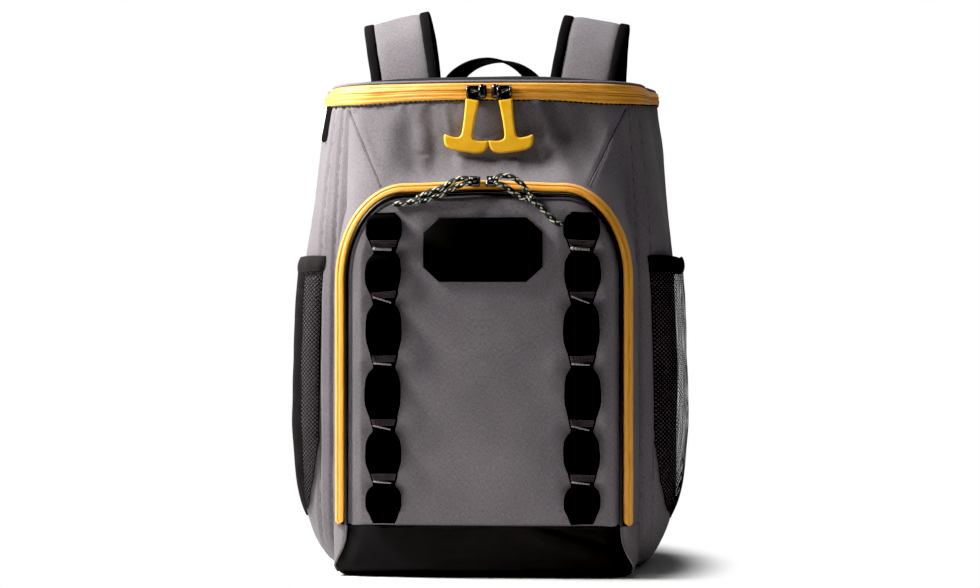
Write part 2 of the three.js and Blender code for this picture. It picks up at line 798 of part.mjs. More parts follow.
function tPull(name, x, lean) {
  const shape = new THREE.Shape();
  const right = pullOutline.map((row) => [row.across * pullHalfWidth, -row.down * pullLength]);
  const foot = [0, -pullLength];
  const left = right.map(([u, v]) => [-u, v]).reverse();
  [...right, foot, ...left].forEach(([u, v], i) => {
    if (i === 0) shape.moveTo(u, v);
    else shape.lineTo(u, v);
  });
  shape.closePath();
  const bevel = 0.9;
  const outline = new THREE.ExtrudeGeometry(shape, {
    depth: pullThickness - 2 * bevel,
    bevelEnabled: true,
    bevelThickness: bevel,
    bevelSize: bevel,
    bevelOffset: -bevel,
    bevelSegments: 1,
  });
  outline.translate(0, 0, -pullThickness / 2 + bevel);
  outline.rotateX(Math.PI / 2);
  outline.rotateY((lean * Math.PI) / 180);
  const clear = new THREE.BoxGeometry(3 * eyeRadius, 3 * eyeRadius, 2 * eyeRadius + 2);
  const neck = new THREE.BoxGeometry(pullEyeWidth, pullThickness, 2 * eyeRadius);
  let body = manifold(outline);
  for (const sign of [-1, 1]) {
    const beside = clear.clone();
    beside.translate(sign * (pullEyeWidth / 2 + 1.5 * eyeRadius), 0, -1);
    body = body.subtract(manifold(beside));
  }
  body = body.add(manifold(lay(neck, 0, 0, -eyeRadius)));
  body = body.add(manifold(barAcross(eyeRadius, pullEyeWidth, 14)));
  body = body.subtract(manifold(barAcross(barRadius + seat, pullEyeWidth + 2, 12)));
  const mesh = add(name, fromManifold(body), colours.orange, 0.5);
  mesh.position.set(x, barY, sliderZ);
}

const pocketSliderLift = seat + pocketZipThickness + 1 + clothSeat + pocketSliderDepth / 2;
const pocketSliderY = pocketEdgeY - pocketZipRise / 2 - slopeForward * pocketSliderLift;
const pocketSliderZ = pocketTop + pocketTopCrown - pocketZipWidth / 2 + slopeOut * pocketSliderLift;

function pocketSliders() {
  for (const [name, sign] of [["pocket_slider_left", -1], ["pocket_slider_right", 1]]) {
    const box = new THREE.BoxGeometry(pocketSliderWidth, pocketSliderDepth, pocketSliderHeight);
    const cap = barAcross(pocketSliderHeight * 0.3, pocketSliderWidth * 0.6, 10);
    const body = manifold(box).add(manifold(lay(cap, 0, -pocketSliderDepth * 0.4, 0)));
    const mesh = add(name, fromManifold(body), colours.black, 0.4);
    mesh.rotation.x = -Math.atan2(pocketZipRise, pocketZipWidth);
    mesh.position.set(sign * pocketSliderX, pocketSliderY, pocketSliderZ);
  }
}

function cords() {
  const anchor = [0, pocketSliderY - pocketSliderDepth / 2, pocketSliderZ];
  const place = ([x, y, z], sign) => [anchor[0] + sign * pocketSliderX + x, anchor[1] + y, anchor[2] + z];
  for (const [name, route] of Object.entries(cordRoutes)) {
    const sign = name.startsWith("left") ? -1 : 1;
    add("cord_" + name, tube(route.map((p) => place(p, sign)), cordDiameter / 2, 9, 8), colours.black);
  }
  for (const [side, at] of Object.entries(knotPlaces)) {
    const knot = add("cord_" + side + "_knot", new THREE.SphereGeometry(knotRadius, 10, 7), colours.black);
    knot.scale.set(0.82, 0.8, 1);
    knot.position.set(...place(at, side === "left" ? -1 : 1));
  }
}

function backPanel() {
  const middle = (backPanelTop + backPanelBottom) / 2;
  const halfHeight = (backPanelTop - backPanelBottom) / 2;
  const ring = (inset, y) => {
    const r = backPanelCorner - inset / 2;
    const [w, h] = [backPanelHalfWidth - inset, halfHeight - inset];
    const points = [];
    for (const [sx, sz, from] of [[1, 1, 0], [-1, 1, 90], [-1, -1, 180], [1, -1, 270]]) {
      for (let i = 0; i <= 5; i++) {
        const angle = ((from + 18 * i) * Math.PI) / 180;
        points.push([sx * (w - r) + r * Math.cos(angle), y, middle + sz * (h - r) + r * Math.sin(angle)]);
      }
    }
    return points;
  };
  const near = bodyBack + seat;
  const rings = [
    ring(1, near),
    ring(0, near + backPanelThickness * 0.4),
    ring(1, near + backPanelThickness * 0.75),
    ring(backPanelRound, near + backPanelThickness),
  ];
  add("back_panel", loft(rings), colours.black);
}

// Turns a path table and its sizes into frames: a place, the direction along, across and out of the webbing.
function frames(table, origin, size) {
  const start = new THREE.Vector3(...origin);
  const placed = (row) => new THREE.Vector3(row.side, row.behind, row.up).multiply(size).add(start);
  const points = table.map(placed);
  return points.map((point, i) => {
    const next = points[Math.min(i + 1, points.length - 1)];
    const before = points[Math.max(i - 1, 0)];
    return { point, along: next.clone().sub(before).normalize(), row: table[i] };
  });
}

// A flat or padded band along frames, between two shares of its width.
function band(stations, from, to, thickness, soft) {
  const columns = soft ? [0, 0.12, 0.5, 0.88, 1] : [0, 1];
  const plump = soft ? [0.45, 0.92, 1, 0.92, 0.45] : [1, 1];
  const grid = (sign) =>
    stations.map(({ point, across, out, half }) =>
      columns.map((column, i) => {
        const reach = mix(from, to, column) * half;
        const lift = (sign * thickness * plump[i]) / 2;
        return point.clone().addScaledVector(across, reach).addScaledVector(out, lift).toArray();
      }),
    );
  return slab(grid(1), grid(-1));
}

const rearTop = [0, bodyBack, bodyTop];

function smoothTable(table, steps) {
  const names = Object.keys(table[0]);
  const count = (table.length - 1) * steps;
  const points = table.map((row) => new THREE.Vector3(row.side, row.behind, row.up));
  const curve = new THREE.CatmullRomCurve3(points);
  return Array.from({ length: count + 1 }, (_, i) => {
    const at = i / steps;
    const low = Math.min(Math.floor(at), table.length - 2);
    const row = {};
    for (const name of names) row[name] = mix(table[low][name], table[low + 1][name], at - low);
    const p = curve.getPoint(i / count);
    return { ...row, side: p.x, behind: p.y, up: p.z };
  });
}

function straps() {
  const size = new THREE.Vector3(bodyHalfWidth, strapReach, bodyTop);
  const stations = frames(smoothTable(strapPath, 2), rearTop, size).map(({ point, along, row }) => {
    const tilt = (row.tilt * Math.PI) / 180;
    const across = new THREE.Vector3(Math.cos(tilt), 0, Math.sin(tilt));
    across.addScaledVector(along, -across.dot(along)).normalize();
    return { point, across, out: across.clone().cross(along), half: row.width * strapHalfWidth };
  });
  const edge = 1 - strapBinding / strapHalfWidth;
  const split = clothSeat / strapHalfWidth;
  const pad = band(stations, -edge, edge, strapThickness, true);
  const outer = band(stations, -1, -edge - split, strapThickness * 0.8, false);
  const inner = band(stations, edge + split, 1, strapThickness * 0.8, false);
  for (const [side, turn] of [["left", (g) => g], ["right", mirrored]]) {
    add("shoulder_strap_" + side, turn(pad), colours.cloth);
    add("strap_binding_outer_" + side, turn(outer), colours.black);
    add("strap_binding_inner_" + side, turn(inner), colours.black);
  }
  lowerStraps(stations.at(-1));
}

function lowerStraps(end) {
  const finish = new THREE.Vector3(
    -(backPanelHalfWidth + strapWebbing * 0.75),
    bodyBack + 2 * clothSeat + webbingThickness / 2,
    backPanelBottom + webbingFootRise,
  );
  const drop = finish.clone().sub(end.point).normalize();
  const across = new THREE.Vector3(1, 0, 0).addScaledVector(drop, -drop.x).normalize();
  const out = across.clone().cross(drop);
  const plate = new THREE.BoxGeometry(lockWidth, lockThickness, lockHeight);
  const slot = new THREE.BoxGeometry(strapWebbing + 2, lockThickness * 3, lockSlot);
  const lock = manifold(plate).subtract(manifold(lay(slot, 0, 0, lockHeight * 0.12)));
  const middle = end.point.clone().addScaledVector(drop, lockHeight / 2 + 2.5);
  const turn = new THREE.Matrix4().makeBasis(across, out, drop.clone().negate()).setPosition(middle);
  const lockGeometry = fromManifold(lock).applyMatrix4(turn);
  const start = middle.clone().addScaledVector(drop, lockHeight / 2 + clothSeat);
  const stations = [0, 0.3, 0.6, 0.85, 1].map((t) => {
    const point = start.clone().lerp(finish, t);
    point.y += Math.sin(Math.PI * t) * webbingSag;
    return { point, across, out, half: strapWebbing / 2 };
  });
  const webbing = band(stations, -1, 1, webbingThickness, false);
  for (const [side, flip] of [["left", (g) => g], ["right", mirrored]]) {
    add("ladder_lock_" + side, flip(lockGeometry), colours.black, 0.4);
    add("strap_webbing_" + side, flip(webbing), colours.black);
  }
}

function haulLoop() {
  const half = smoothTable(loopPath, 2);
  const other = half.slice(0, -1).reverse().map((row) => ({ ...row, side: -row.side, turn: 180 - row.turn }));
  const size = new THREE.Vector3(loopHalfSpan, loopReach, loopRise);
  const placed = frames([...half, ...other], [loopShift, bodyBack, bodyTop], size);
  const stations = placed.map(({ point, along, row }) => {
    const flat = new THREE.Vector3(0, 1, 0).cross(along).normalize();
    const turn = (row.turn * Math.PI) / 180;
    const across = flat.clone().multiplyScalar(Math.cos(turn));
    across.y += Math.sin(turn);
    return { point, across, out: across.clone().cross(along), half: loopWidth / 2 };
  });
  add("haul_loop", band(stations, -1, 1, loopThickness, false), colours.black);
}

bodyShell();
lidAndBinding();
zipAndHinge();
frontPocket();
pocketZip();
baseBoot();
webbingChains();
badge();
sidePockets();
topSlider("top_slider_left", sliderMiddle - sliderX);
topSlider("top_slider_right", sliderMiddle + sliderX);
tPull("t_pull_left", sliderMiddle - sliderX, pullLeanLeft);
tPull("t_pull_right", sliderMiddle + sliderX, pullLeanRight);
pocketSliders();
cords();
backPanel();
straps();
haulLoop();

export default group;
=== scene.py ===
# Looks of an upright cooler backpack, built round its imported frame.
# Metres, +Z up, the front faces -Y.
import json
from functools import lru_cache, partial
from math import asin, atan, atan2, copysign, cos, exp, hypot, pi, radians, sin, sqrt

import bmesh
import bpy
from mathutils import Matrix, Vector, noise
from mathutils.bvhtree import BVHTree


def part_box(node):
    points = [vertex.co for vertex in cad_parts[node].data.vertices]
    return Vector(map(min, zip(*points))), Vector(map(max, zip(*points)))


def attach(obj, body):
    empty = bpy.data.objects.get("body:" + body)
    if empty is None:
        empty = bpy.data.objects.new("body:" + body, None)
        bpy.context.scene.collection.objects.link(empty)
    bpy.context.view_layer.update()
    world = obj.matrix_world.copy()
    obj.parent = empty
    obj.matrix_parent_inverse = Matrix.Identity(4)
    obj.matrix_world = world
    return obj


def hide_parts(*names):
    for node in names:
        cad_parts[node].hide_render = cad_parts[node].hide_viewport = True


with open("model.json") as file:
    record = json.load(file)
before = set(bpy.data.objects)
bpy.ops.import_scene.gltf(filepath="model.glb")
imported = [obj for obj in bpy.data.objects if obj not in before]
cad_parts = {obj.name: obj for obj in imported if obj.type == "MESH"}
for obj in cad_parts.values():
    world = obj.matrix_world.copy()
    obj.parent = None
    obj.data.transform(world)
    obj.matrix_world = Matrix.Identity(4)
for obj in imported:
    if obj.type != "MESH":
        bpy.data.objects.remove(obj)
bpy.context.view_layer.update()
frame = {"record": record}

mm = 0.001


# Camera, light and floor

view = {
    "turn": 3.3,  # degrees round towards +X
    "height": 0.251,
    "distance": 1.88,
    "lens": 73.8,
}


def makeCamera():
    data = bpy.data.cameras.new("camera")
    data.lens = view["lens"]
    camera = bpy.data.objects.new("camera", data)
    turn = radians(view["turn"])
    camera.location = (view["distance"] * sin(turn), -view["distance"] * cos(turn), view["height"])
    camera.rotation_euler = (radians(90), 0, turn)
    bpy.context.scene.collection.objects.link(camera)
    bpy.context.scene.camera = camera


lamps = {
    "key": {"at": (-0.70, -0.195, 0.86), "to": (0, -0.05, 0.28), "size": 0.3, "watts": 23.6, "tint": "#fffdfa"},
    "top": {"at": (0.12, 0.0, 0.95), "to": (0.1, 0.1, 0.45), "size": 0.15, "watts": 1.6, "tint": "#ffffff"},
    "rim": {"at": (-0.75, 0.55, 0.95), "to": (0, 0, 0.4), "size": 0.5, "watts": 5, "tint": "#ffffff"},
    "fill": {"at": (1.1, -1.7, 0.35), "to": (0, 0, 0.2), "size": 1.0, "watts": 1.2, "tint": "#f2f4ff"},
}


def makeLights():
    for name, lamp in lamps.items():
        data = bpy.data.lights.new(name, "AREA")
        data.shape = "SQUARE"
        data.size = lamp["size"]
        data.energy = lamp["watts"]
        data.color = linear(lamp["tint"])[:3]
        light = bpy.data.objects.new(name, data)
        light.location = lamp["at"]
        light.rotation_euler = (Vector(lamp["to"]) - Vector(lamp["at"])).to_track_quat("-Z", "Y").to_euler()
        bpy.context.scene.collection.objects.link(light)


room = {"ambient": 0.068, "backdrop": 1.0, "floorSize": 3.0, "near": 0.17, "far": 0.235, "black": 0.009}


def makeRoom():
    scene = bpy.context.scene
    scene.view_settings.view_transform = "Standard"
    scene.view_settings.use_curve_mapping = True
    scene.view_settings.curve_mapping.black_level = (room["black"],) * 3
    world = bpy.data.worlds.new("studio")
    scene.world = world
    world.use_nodes = True
    tree = world.node_tree
    tree.nodes.clear()
    # the backdrop is white behind the bag and dim as a light, so that the lamps shape the cloth
    add = partial(addNode, tree)
    dim, bright = (add("Background", [(1, 1, 1, 1), room[part]]) for part in ("ambient", "backdrop"))
    add("OutputWorld", [add("MixShader", [add("LightPath", out="Is Camera Ray"), dim, bright])])
    bm = bmesh.new()
    bmesh.ops.create_grid(bm, x_segments=1, y_segments=1, size=room["floorSize"])
    mesh = bpy.data.meshes.new("floor")
    bm.to_mesh(mesh)
    bm.free()
    floor = bpy.data.objects.new("floor", mesh)
    scene.collection.objects.link(floor)
    mesh.materials.append(paperFloor("studioPaper"))


# Small tools

sides = ((-1, "Left"), (1, "Right"))


def mix(a, b, t):
    return a + (b - a) * t


def smooth(low, high, value):
    t = min(max((value - low) / (high - low), 0), 1)
    return t * t * (3 - 2 * t)


def bell(value, reach):
    return exp(-((value / reach) ** 2))


def rough(x, y, z, grain, seed=0.0):
    # even noise with a grain size in metres
    return noise.noise(Vector((x / grain + seed, y / grain - seed, z / grain + 3 * seed)))


def linear(code):
    # sRGB hex to linear colour
    parts = [int(code[i : i + 2], 16) / 255 for i in (1, 3, 5)]
    return (*[c / 12.92 if c <= 0.04045 else ((c + 0.055) / 1.055) ** 2.4 for c in parts], 1)


def table(columns, *rows):
    return [dict(zip(columns.split(), row)) for row in rows]


def lookUp(rows, column, value):
    # a smooth curve through the rows of a table, as a row of its own
    keys = [row[column] for row in rows]
    value = min(max(value, keys[0]), keys[-1])
    i = max(j for j in range(len(keys) - 1) if keys[j] <= value)
    span = keys[i + 1] - keys[i]
    t = (value - keys[i]) / span
    row = {}
    for name in rows[0]:
        def slope(j, name=name):
            low, high = max(j - 1, 0), min(j + 1, len(rows) - 1)
            return (rows[high][name] - rows[low][name]) / (keys[high] - keys[low]) * span
        a, b = rows[i][name], rows[i + 1][name]
        row[name] = (
            a * (2 * t**3 - 3 * t**2 + 1)
            + slope(i) * (t**3 - 2 * t**2 + t)
            + b * (3 * t**2 - 2 * t**3)
            + slope(i + 1) * (t**3 - t**2)
        )
    return row


def alongCurve(points, t):
    # a Catmull-Rom curve through the points, t from 0 to 1
    count = len(points) - 1
    at = min(max(t, 0), 1) * count
    i = min(int(at), count - 1)
    u = at - i
    b, c = points[i], points[i + 1]
    a = points[i - 1] if i > 0 else b * 2 - c
    d = points[i + 2] if i + 2 <= count else c * 2 - b
    return 0.5 * (2 * b + (c - a) * u + (2 * a - 5 * b + 4 * c - d) * u**2 + (3 * b - a - 3 * c + d) * u**3)


def clothGrid(columns, rows, place, flip=False, close=False):
    # a grid laid out by place(s, t), which gives a point and its place on the flat cloth, both in metres
    bm = bmesh.new()
    bmesh.ops.create_grid(bm, x_segments=columns, y_segments=rows, size=0.5)
    bm.verts.index_update()
    flat = {}
    for vert in bm.verts:
        point, flat[vert.index] = place(vert.co.x + 0.5, vert.co.y + 0.5)
        vert.co = point
    layer = bm.loops.layers.uv.new("cloth")
    for face in bm.faces:
        for loop in face.loops:
            loop[layer].uv = flat[loop.vert.index]
    if flip:
        bmesh.ops.reverse_faces(bm, faces=bm.faces)
    if close:
        bmesh.ops.remove_doubles(bm, verts=bm.verts, dist=1e-6)
    return bm


def turnOut(bm, fill=False):
    # closes open ends if asked, and points all faces outwards
    if fill:
        bmesh.ops.holes_fill(bm, edges=[e for e in bm.edges if e.is_boundary], sides=0)
    bmesh.ops.recalc_face_normals(bm, faces=bm.faces)
    return bm


def tube(points, radius, around, steps, shape=lambda s, way: 1):
    # a round or braided tube along a curve, with round ends: shape(s, way) scales its radius
    centres = [alongCurve(points, i / steps) for i in range(steps + 1)]
    frames = []
    across = None
    for i, centre in enumerate(centres):
        ahead = (centres[min(i + 1, steps)] - centres[max(i - 1, 0)]).normalized()
        if across is None:
            across = ahead.orthogonal().normalized()
        across = (across - ahead * across.dot(ahead)).normalized()
        frames.append((centre, ahead, across, ahead.cross(across)))
    ways = [0]
    for a, b in zip(centres, centres[1:]):
        ways.append(ways[-1] + (b - a).length)
    rows = steps + 6

    def place(s, t):
        row = round(t * rows)
        i = min(max(row - 3, 0), steps)
        centre, ahead, across, up = frames[i]
        fade = pi / 2 * min(row / 3, 1, (rows - row) / 3)
        grow, push = sin(fade), copysign(cos(fade) * 0.6, row - 3)
        angle = 2 * pi * s
        r = radius * grow * shape(s, ways[i])
        spot = centre + (across * cos(angle) + up * sin(angle)) * r + ahead * radius * push
        return spot, (s * 2 * pi * radius, ways[i] + push * radius)

    return turnOut(clothGrid(around, rows, place, close=True))


def joined(parts):
    # several small meshes as one
    whole = bmesh.new()
    for part in parts:
        mesh = bpy.data.meshes.new("part")
        part.to_mesh(mesh)
        part.free()
        whole.from_mesh(mesh)
        bpy.data.meshes.remove(mesh)
    return whole


def puff(piece, sewn, pressure, reach):
    # Cloth simulation: air presses the cloth out between the sewn places, and no point moves further than reach
    scene = bpy.context.scene
    mesh = piece.data
    start = [vert.co.copy() for vert in mesh.vertices]
    group = piece.vertex_groups.new(name="sewn")
    group.add([i for i, co in enumerate(start) if sewn(co)], 1.0, "REPLACE")
    cloth = piece.modifiers.new("puff", "CLOTH")
    settings = cloth.settings
    settings.vertex_group_mass = "sewn"
    settings.mass = 0.3
    settings.quality = 6
    settings.use_pressure = True
    settings.uniform_pressure_force = pressure
    settings.effector_weights.gravity = 0
    cloth.point_cache.frame_start, cloth.point_cache.frame_end = 1, 20
    for step in range(1, 21):
        scene.frame_set(step)
    swollen = piece.evaluated_get(bpy.context.evaluated_depsgraph_get()).to_mesh()
    ends = [vert.co.copy() for vert in swollen.vertices]
    piece.modifiers.remove(cloth)
    scene.frame_set(1)
    for vert, a, b in zip(mesh.vertices, start, ends):
        move = b - a
        vert.co = a + move * min(1, reach / max(move.length, 1e-9))


def addPiece(name, bm, material, node=None, body="bag", wall=0, levels=0):
    mesh = bpy.data.meshes.new(name)
    bm.to_mesh(mesh)
    bm.free()
    mesh.shade_smooth()
    piece = bpy.data.objects.new(name, mesh)
    bpy.context.scene.collection.objects.link(piece)
    mesh.materials.append(material)
    if wall:
        solid = piece.modifiers.new("wall", "SOLIDIFY")
        solid.thickness, solid.offset = wall, -1
    if levels:
        fine = piece.modifiers.new("fine", "SUBSURF")
        fine.levels = fine.render_levels = levels
    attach(piece, body)
    if node:
        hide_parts(*node.split())
    return piece


def soften(bm, edges, offset, segments):
    bmesh.ops.bevel(
        bm, geom=edges, offset=offset * mm, segments=segments, profile=0.5, affect="EDGES", material=-1
    )


def addBlock(bm, at, size, offset, segments):
    # a block with rounded edges, its size and rounding in millimetres
    verts = bmesh.ops.create_cube(bm, size=1, matrix=at @ Matrix.LocRotScale(None, None, Vector(size) * mm))["verts"]
    soften(bm, list({e for v in verts for e in v.link_edges}), offset, segments)


def addRod(bm, at, radius, length, count):
    # a round rod along X, in metres
    turned = at @ Matrix.Rotation(radians(90), 4, "Y")
    return bmesh.ops.create_cone(
        bm, cap_ends=True, segments=count, radius1=radius, radius2=radius, depth=length, matrix=turned
    )["verts"]


def addNode(tree, kind, inputs=(), out=0, stops=(), **settings):
    # inputs by number or by name, each a value or another node's output; the output asked for comes back
    node = tree.nodes.new("ShaderNode" + kind)
    for key, value in settings.items():
        setattr(node, key, value)
    for key, value in inputs.items() if isinstance(inputs, dict) else enumerate(inputs):
        if isinstance(value, bpy.types.NodeSocket):
            tree.links.new(value, node.inputs[key])
        else:
            node.inputs[key].default_value = value
    for i, (position, code) in enumerate(stops):
        element = node.color_ramp.elements[i] if i < 2 else node.color_ramp.elements.new(position)
        element.position, element.color = position, linear(code)
    return node.outputs[out] if node.outputs else node


# Materials

def startMaterial(name):
    material = bpy.data.materials.new(name)
    material.use_nodes = True
    material.node_tree.nodes.clear()
    return partial(addNode, material.node_tree)


def finishMaterial(name, add, sockets, shade, stops, height, strength, distance):
    bump = add("Bump", {"Height": height, "Strength": strength, "Distance": distance})
    colour = add("ValToRGB", [shade], stops=stops)
    add("OutputMaterial", [add("BsdfPrincipled", {**sockets, "Base Color": colour, "Normal": bump})])
    return bpy.data.materials[name]


def clothPlace(add, ownMap=True):
    # where a point lies on the cloth, whole and as across and up: on the piece's own map, or on the bag itself
    if ownMap:
        place = add("UVMap", uv_map="cloth")
    else:
        x, y, z = (add("SeparateXYZ", [add("TexCoord", out="Object")], out=axis) for axis in "XYZ")
        place = add("CombineXYZ", [add("Math", [add("Math", [x], operation="ABSOLUTE"), y]), z])
    return place, *(add("SeparateXYZ", [place], out=axis) for axis in "XY")


def drawnOut(add, place, wide, tall):
    # noise drawn out along one direction, with its grain in metres
    scaled = add("Mapping", {"Vector": place, "Scale": (1 / wide, 1 / tall, 1)})
    return add("TexNoise", {"Vector": scaled, "Scale": 1.0, "Detail": 2.0})


def ripple(add, value, pitch):
    return add("Math", [add("Math", [value, 2 * pi / pitch], operation="MULTIPLY")], operation="SINE")


def canvas(name, dark, middle, light, thread, contrast=1.0, ownMap=True, roughness=0.9, sheen=0.0):
    # Canvas: plain weave of two slightly different yarns, so it looks speckled close by and even from afar
    add = startMaterial(name)
    place, x, y = clothPlace(add, ownMap)
    yarns = [drawnOut(add, place, thread * a, thread * b) for a, b in ((1.6, 7), (7, 1.6))]
    yarn = add("Math", [add("Math", yarns), 0.5], operation="MULTIPLY")
    cloud = add("TexNoise", {"Vector": add("TexCoord", out="Object"), "Scale": 16.0, "Detail": 3.0})
    cloud = add("Math", [cloud, 0.35, 0.325 - 0.8 * contrast], operation="MULTIPLY_ADD")
    shade = add("Math", [yarn, 1.6 * contrast, cloud], operation="MULTIPLY_ADD")
    weave = add("Math", [ripple(add, value, thread * 2.4) for value in (x, y)], operation="MULTIPLY")
    height = add("Math", [weave, 0.35, yarn], operation="MULTIPLY_ADD")
    sockets = {"Roughness": roughness, "Sheen Weight": sheen, "Sheen Roughness": 0.5, "Specular IOR Level": 0.25}
    stops = [(0.2, dark), (0.85, light), (0.5, middle)]
    return finishMaterial(name, add, sockets, shade, stops, height, 0.5, thread * 0.6)


def webbing(name, dark, light, rib, roughness, specular):
    # Nylon webbing or grosgrain: fine ribs run across its length, with a slight shine on each rib
    add = startMaterial(name)
    place, x, y = clothPlace(add)
    ribs = ripple(add, y, rib)
    shade = add("Math", [ribs, 0.2, drawnOut(add, place, rib * 3, rib * 0.8)], operation="MULTIPLY_ADD")
    height = add("Math", [ripple(add, x, rib * 1.3), 0.4, ribs], operation="MULTIPLY_ADD")
    sockets = {"Roughness": roughness, "Specular IOR Level": specular}
    return finishMaterial(name, add, sockets, shade, [(0.25, dark), (0.8, light)], height, 0.45, rib * 0.25)


def zipTape(name):
    # Zip tape: dyed polyester in a fine herringbone, smooth enough to shine a little along the folds
    add = startMaterial(name)
    place, x, y = clothPlace(add)
    twill = ripple(add, add("Math", [y, add("Math", [x, 0.0011], operation="PINGPONG")]), 0.0011)
    shade = add("Math", [twill, 0.12, drawnOut(add, place, 0.0015, 0.02)], operation="MULTIPLY_ADD")
    sockets = {"Roughness": 0.42, "Sheen Weight": 0.25, "Specular IOR Level": 0.7}
    stops = [(0.2, "#e08a10"), (0.85, "#f8bb3d"), (0.5, "#f0a41f")]
    return finishMaterial(name, add, sockets, shade, stops, twill, 0.35, 0.0002)


def moulded(name, dark, light, grain, roughness, specular=0.5, coat=0.0, relief=0.25):
    # Moulded rubber or plastic: one colour with faint clouds, and a fine spark-eroded grain
    add = startMaterial(name)
    cloud, fine = (
        add("TexNoise", {"Vector": add("TexCoord", out="Object"), "Scale": scale, "Detail": detail})
        for scale, detail in ((90.0, 3.0), (1 / grain, 2.0))
    )
    sockets = {"Roughness": roughness, "Specular IOR Level": specular, "Coat Weight": coat, "Coat Roughness": 0.25}
    return finishMaterial(name, add, sockets, cloud, [(0.3, dark), (0.7, light)], fine, relief, grain * 0.4)


def fleckedCord(name):
    # Braided cord: a black sheath with a few pale tracer yarns that surface as flecks at the crossings
    add = startMaterial(name)
    place, x, y = clothPlace(add)
    pitch = pi * cord["diameter"] / 8  # eight yarns each way round the cord
    lanes = [add("Math", [y, lean, x], operation="MULTIPLY_ADD") for lean in (0.62, -0.62)]
    lanes = [add("Math", [lane, pitch], operation="DIVIDE") for lane in lanes]
    yarns = [add("Math", [lane], operation="FLOOR") for lane in lanes]
    over = add("Math", [add("Math", yarns), 2.0], operation="FLOORED_MODULO")
    turns = [add("Math", [yarn, 4.0], operation="FLOORED_MODULO") for yarn in yarns]
    pale = [add("Math", [turn, chosen, 0.5], operation="COMPARE") for turn, chosen in zip(turns, (1.0, 2.0))]
    fleck = add("Mix", {0: over, 2: pale[0], 3: pale[1]})
    waves = [add("Math", [ripple(add, lane, 2.0)], operation="ABSOLUTE") for lane in lanes]
    swell = add("Math", waves, operation="MULTIPLY")
    sockets = {"Roughness": 0.55, "Specular IOR Level": 0.3}
    return finishMaterial(name, add, sockets, fleck, [(0.0, "#131410"), (1.0, "#c9ccb6")], swell, 0.8, 0.0006)


def labelWeave(name):
    # Woven label: black damask with a pale selvedge, left without any lettering
    add = startMaterial(name)
    place, x, y = clothPlace(add)
    edge = add("Math", [add("Math", [x], operation="ABSOLUTE"), 0.0042], operation="GREATER_THAN")
    sockets = {"Roughness": 0.8, "Specular IOR Level": 0.08}
    stops = [(0.0, "#080707"), (1.0, "#c9c4be")]
    return finishMaterial(name, add, sockets, edge, stops, ripple(add, y, 0.0009), 0.3, 0.0002)


def spacerMesh(name):
    # Spacer mesh: knitted with rows of small round holes, which read as a dark dotted grid
    add = startMaterial(name)
    cells = add("TexVoronoi", {"Vector": clothPlace(add, False)[0], "Scale": 330.0, "Randomness": 0.15})
    stops = [(0.18, "#060606"), (0.7, "#2c2b2c"), (0.34, "#1d1c1d")]
    return finishMaterial(name, add, {"Roughness": 0.85, "Sheen Weight": 0.3}, cells, stops, cells, 0.7, 0.0008)


def paperFloor(name):
    # Studio paper: matt white with a trace of mottling, fading into the white backdrop away from the bag
    add = startMaterial(name)
    place = add("TexCoord", out="Object")
    mottle = add("TexNoise", {"Vector": place, "Scale": 3.0})
    colour = add("ValToRGB", [mottle], stops=[(0.0, "#f8f8f8"), (1.0, "#ffffff")])
    paper = add("BsdfPrincipled", {"Base Color": colour, "Roughness": 0.9})
    far = add("VectorMath", [place], out="Value", operation="LENGTH")
    fade = add(
        "MapRange", {"Value": far, "From Min": room["near"], "From Max": room["far"]}, interpolation_type="SMOOTHSTEP"
    )
    share = add("Math", [fade, add("LightPath", out="Is Camera Ray")], operation="MULTIPLY")
    white = add("Emission", [(1, 1, 1, 1), room["backdrop"]])
    add("OutputMaterial", [add("MixShader", [share, paper, white])])
    return bpy.data.materials[name]


cord = {"diameter": 0.0046, "sliderX": 0.008, "anchorY": -0.106739, "anchorZ": 0.350595}

makeCamera()
makeRoom()
makeLights()
greyCanvas = canvas("greyCanvas", "#534e52", "#6e696d", "#878286", 0.42 * mm, contrast=0.8, ownMap=False, sheen=0.08)
blackWebbing = webbing("nylonWebbing", "#020202", "#070707", 1.4 * mm, 0.8, 0.04)
netGrosgrain = webbing("netGrosgrain", "#1a1819", "#2a2728", 1.1 * mm, 0.8, 0.1)
blackBinding = webbing("grosgrainBinding", "#060505", "#100e0f", 1.1 * mm, 0.75, 0.1)
orangeTape = zipTape("orangeZipTape")
orangeRubber = moulded("mouldedRubber", "#f2b216", "#fcc32e", 0.5 * mm, 0.42, coat=0.15)
blackPaint = moulded("blackPaintedZinc", "#070707", "#0e0e0e", 0.3 * mm, 0.22, specular=0.7, coat=0.4, relief=0.1)
pipingVinyl = moulded("pipingVinyl", "#060505", "#0e0c0d", 0.6 * mm, 0.35, specular=0.3)
badgeRubber = moulded("badgeRubber", "#050505", "#080808", 0.4 * mm, 0.55, specular=0.12)
braidedCord = fleckedCord("braidedCord")
netYarn = moulded("netYarn", "#191718", "#242122", 0.4 * mm, 0.75, specular=0.1)
labelCloth = labelWeave("wovenLabel")
lockPlastic = moulded("acetalPlastic", "#0a0a0a", "#121212", 0.3 * mm, 0.4)
backMesh = spacerMesh("spacerMesh")
# dark thread, its colour also painted shade where it lies in seam and dart creases
darkThread = moulded("darkThread", "#151314", "#242122", 0.4 * mm, 0.7)
# pale thread whose colour is a painted highlight on the webbing loops' sewn lips
greyThread = moulded("greyThread", "#8c8586", "#a29c9c", 0.4 * mm, 0.7)
print("materials and light ready")


# Body: an upright tub of padded cloth

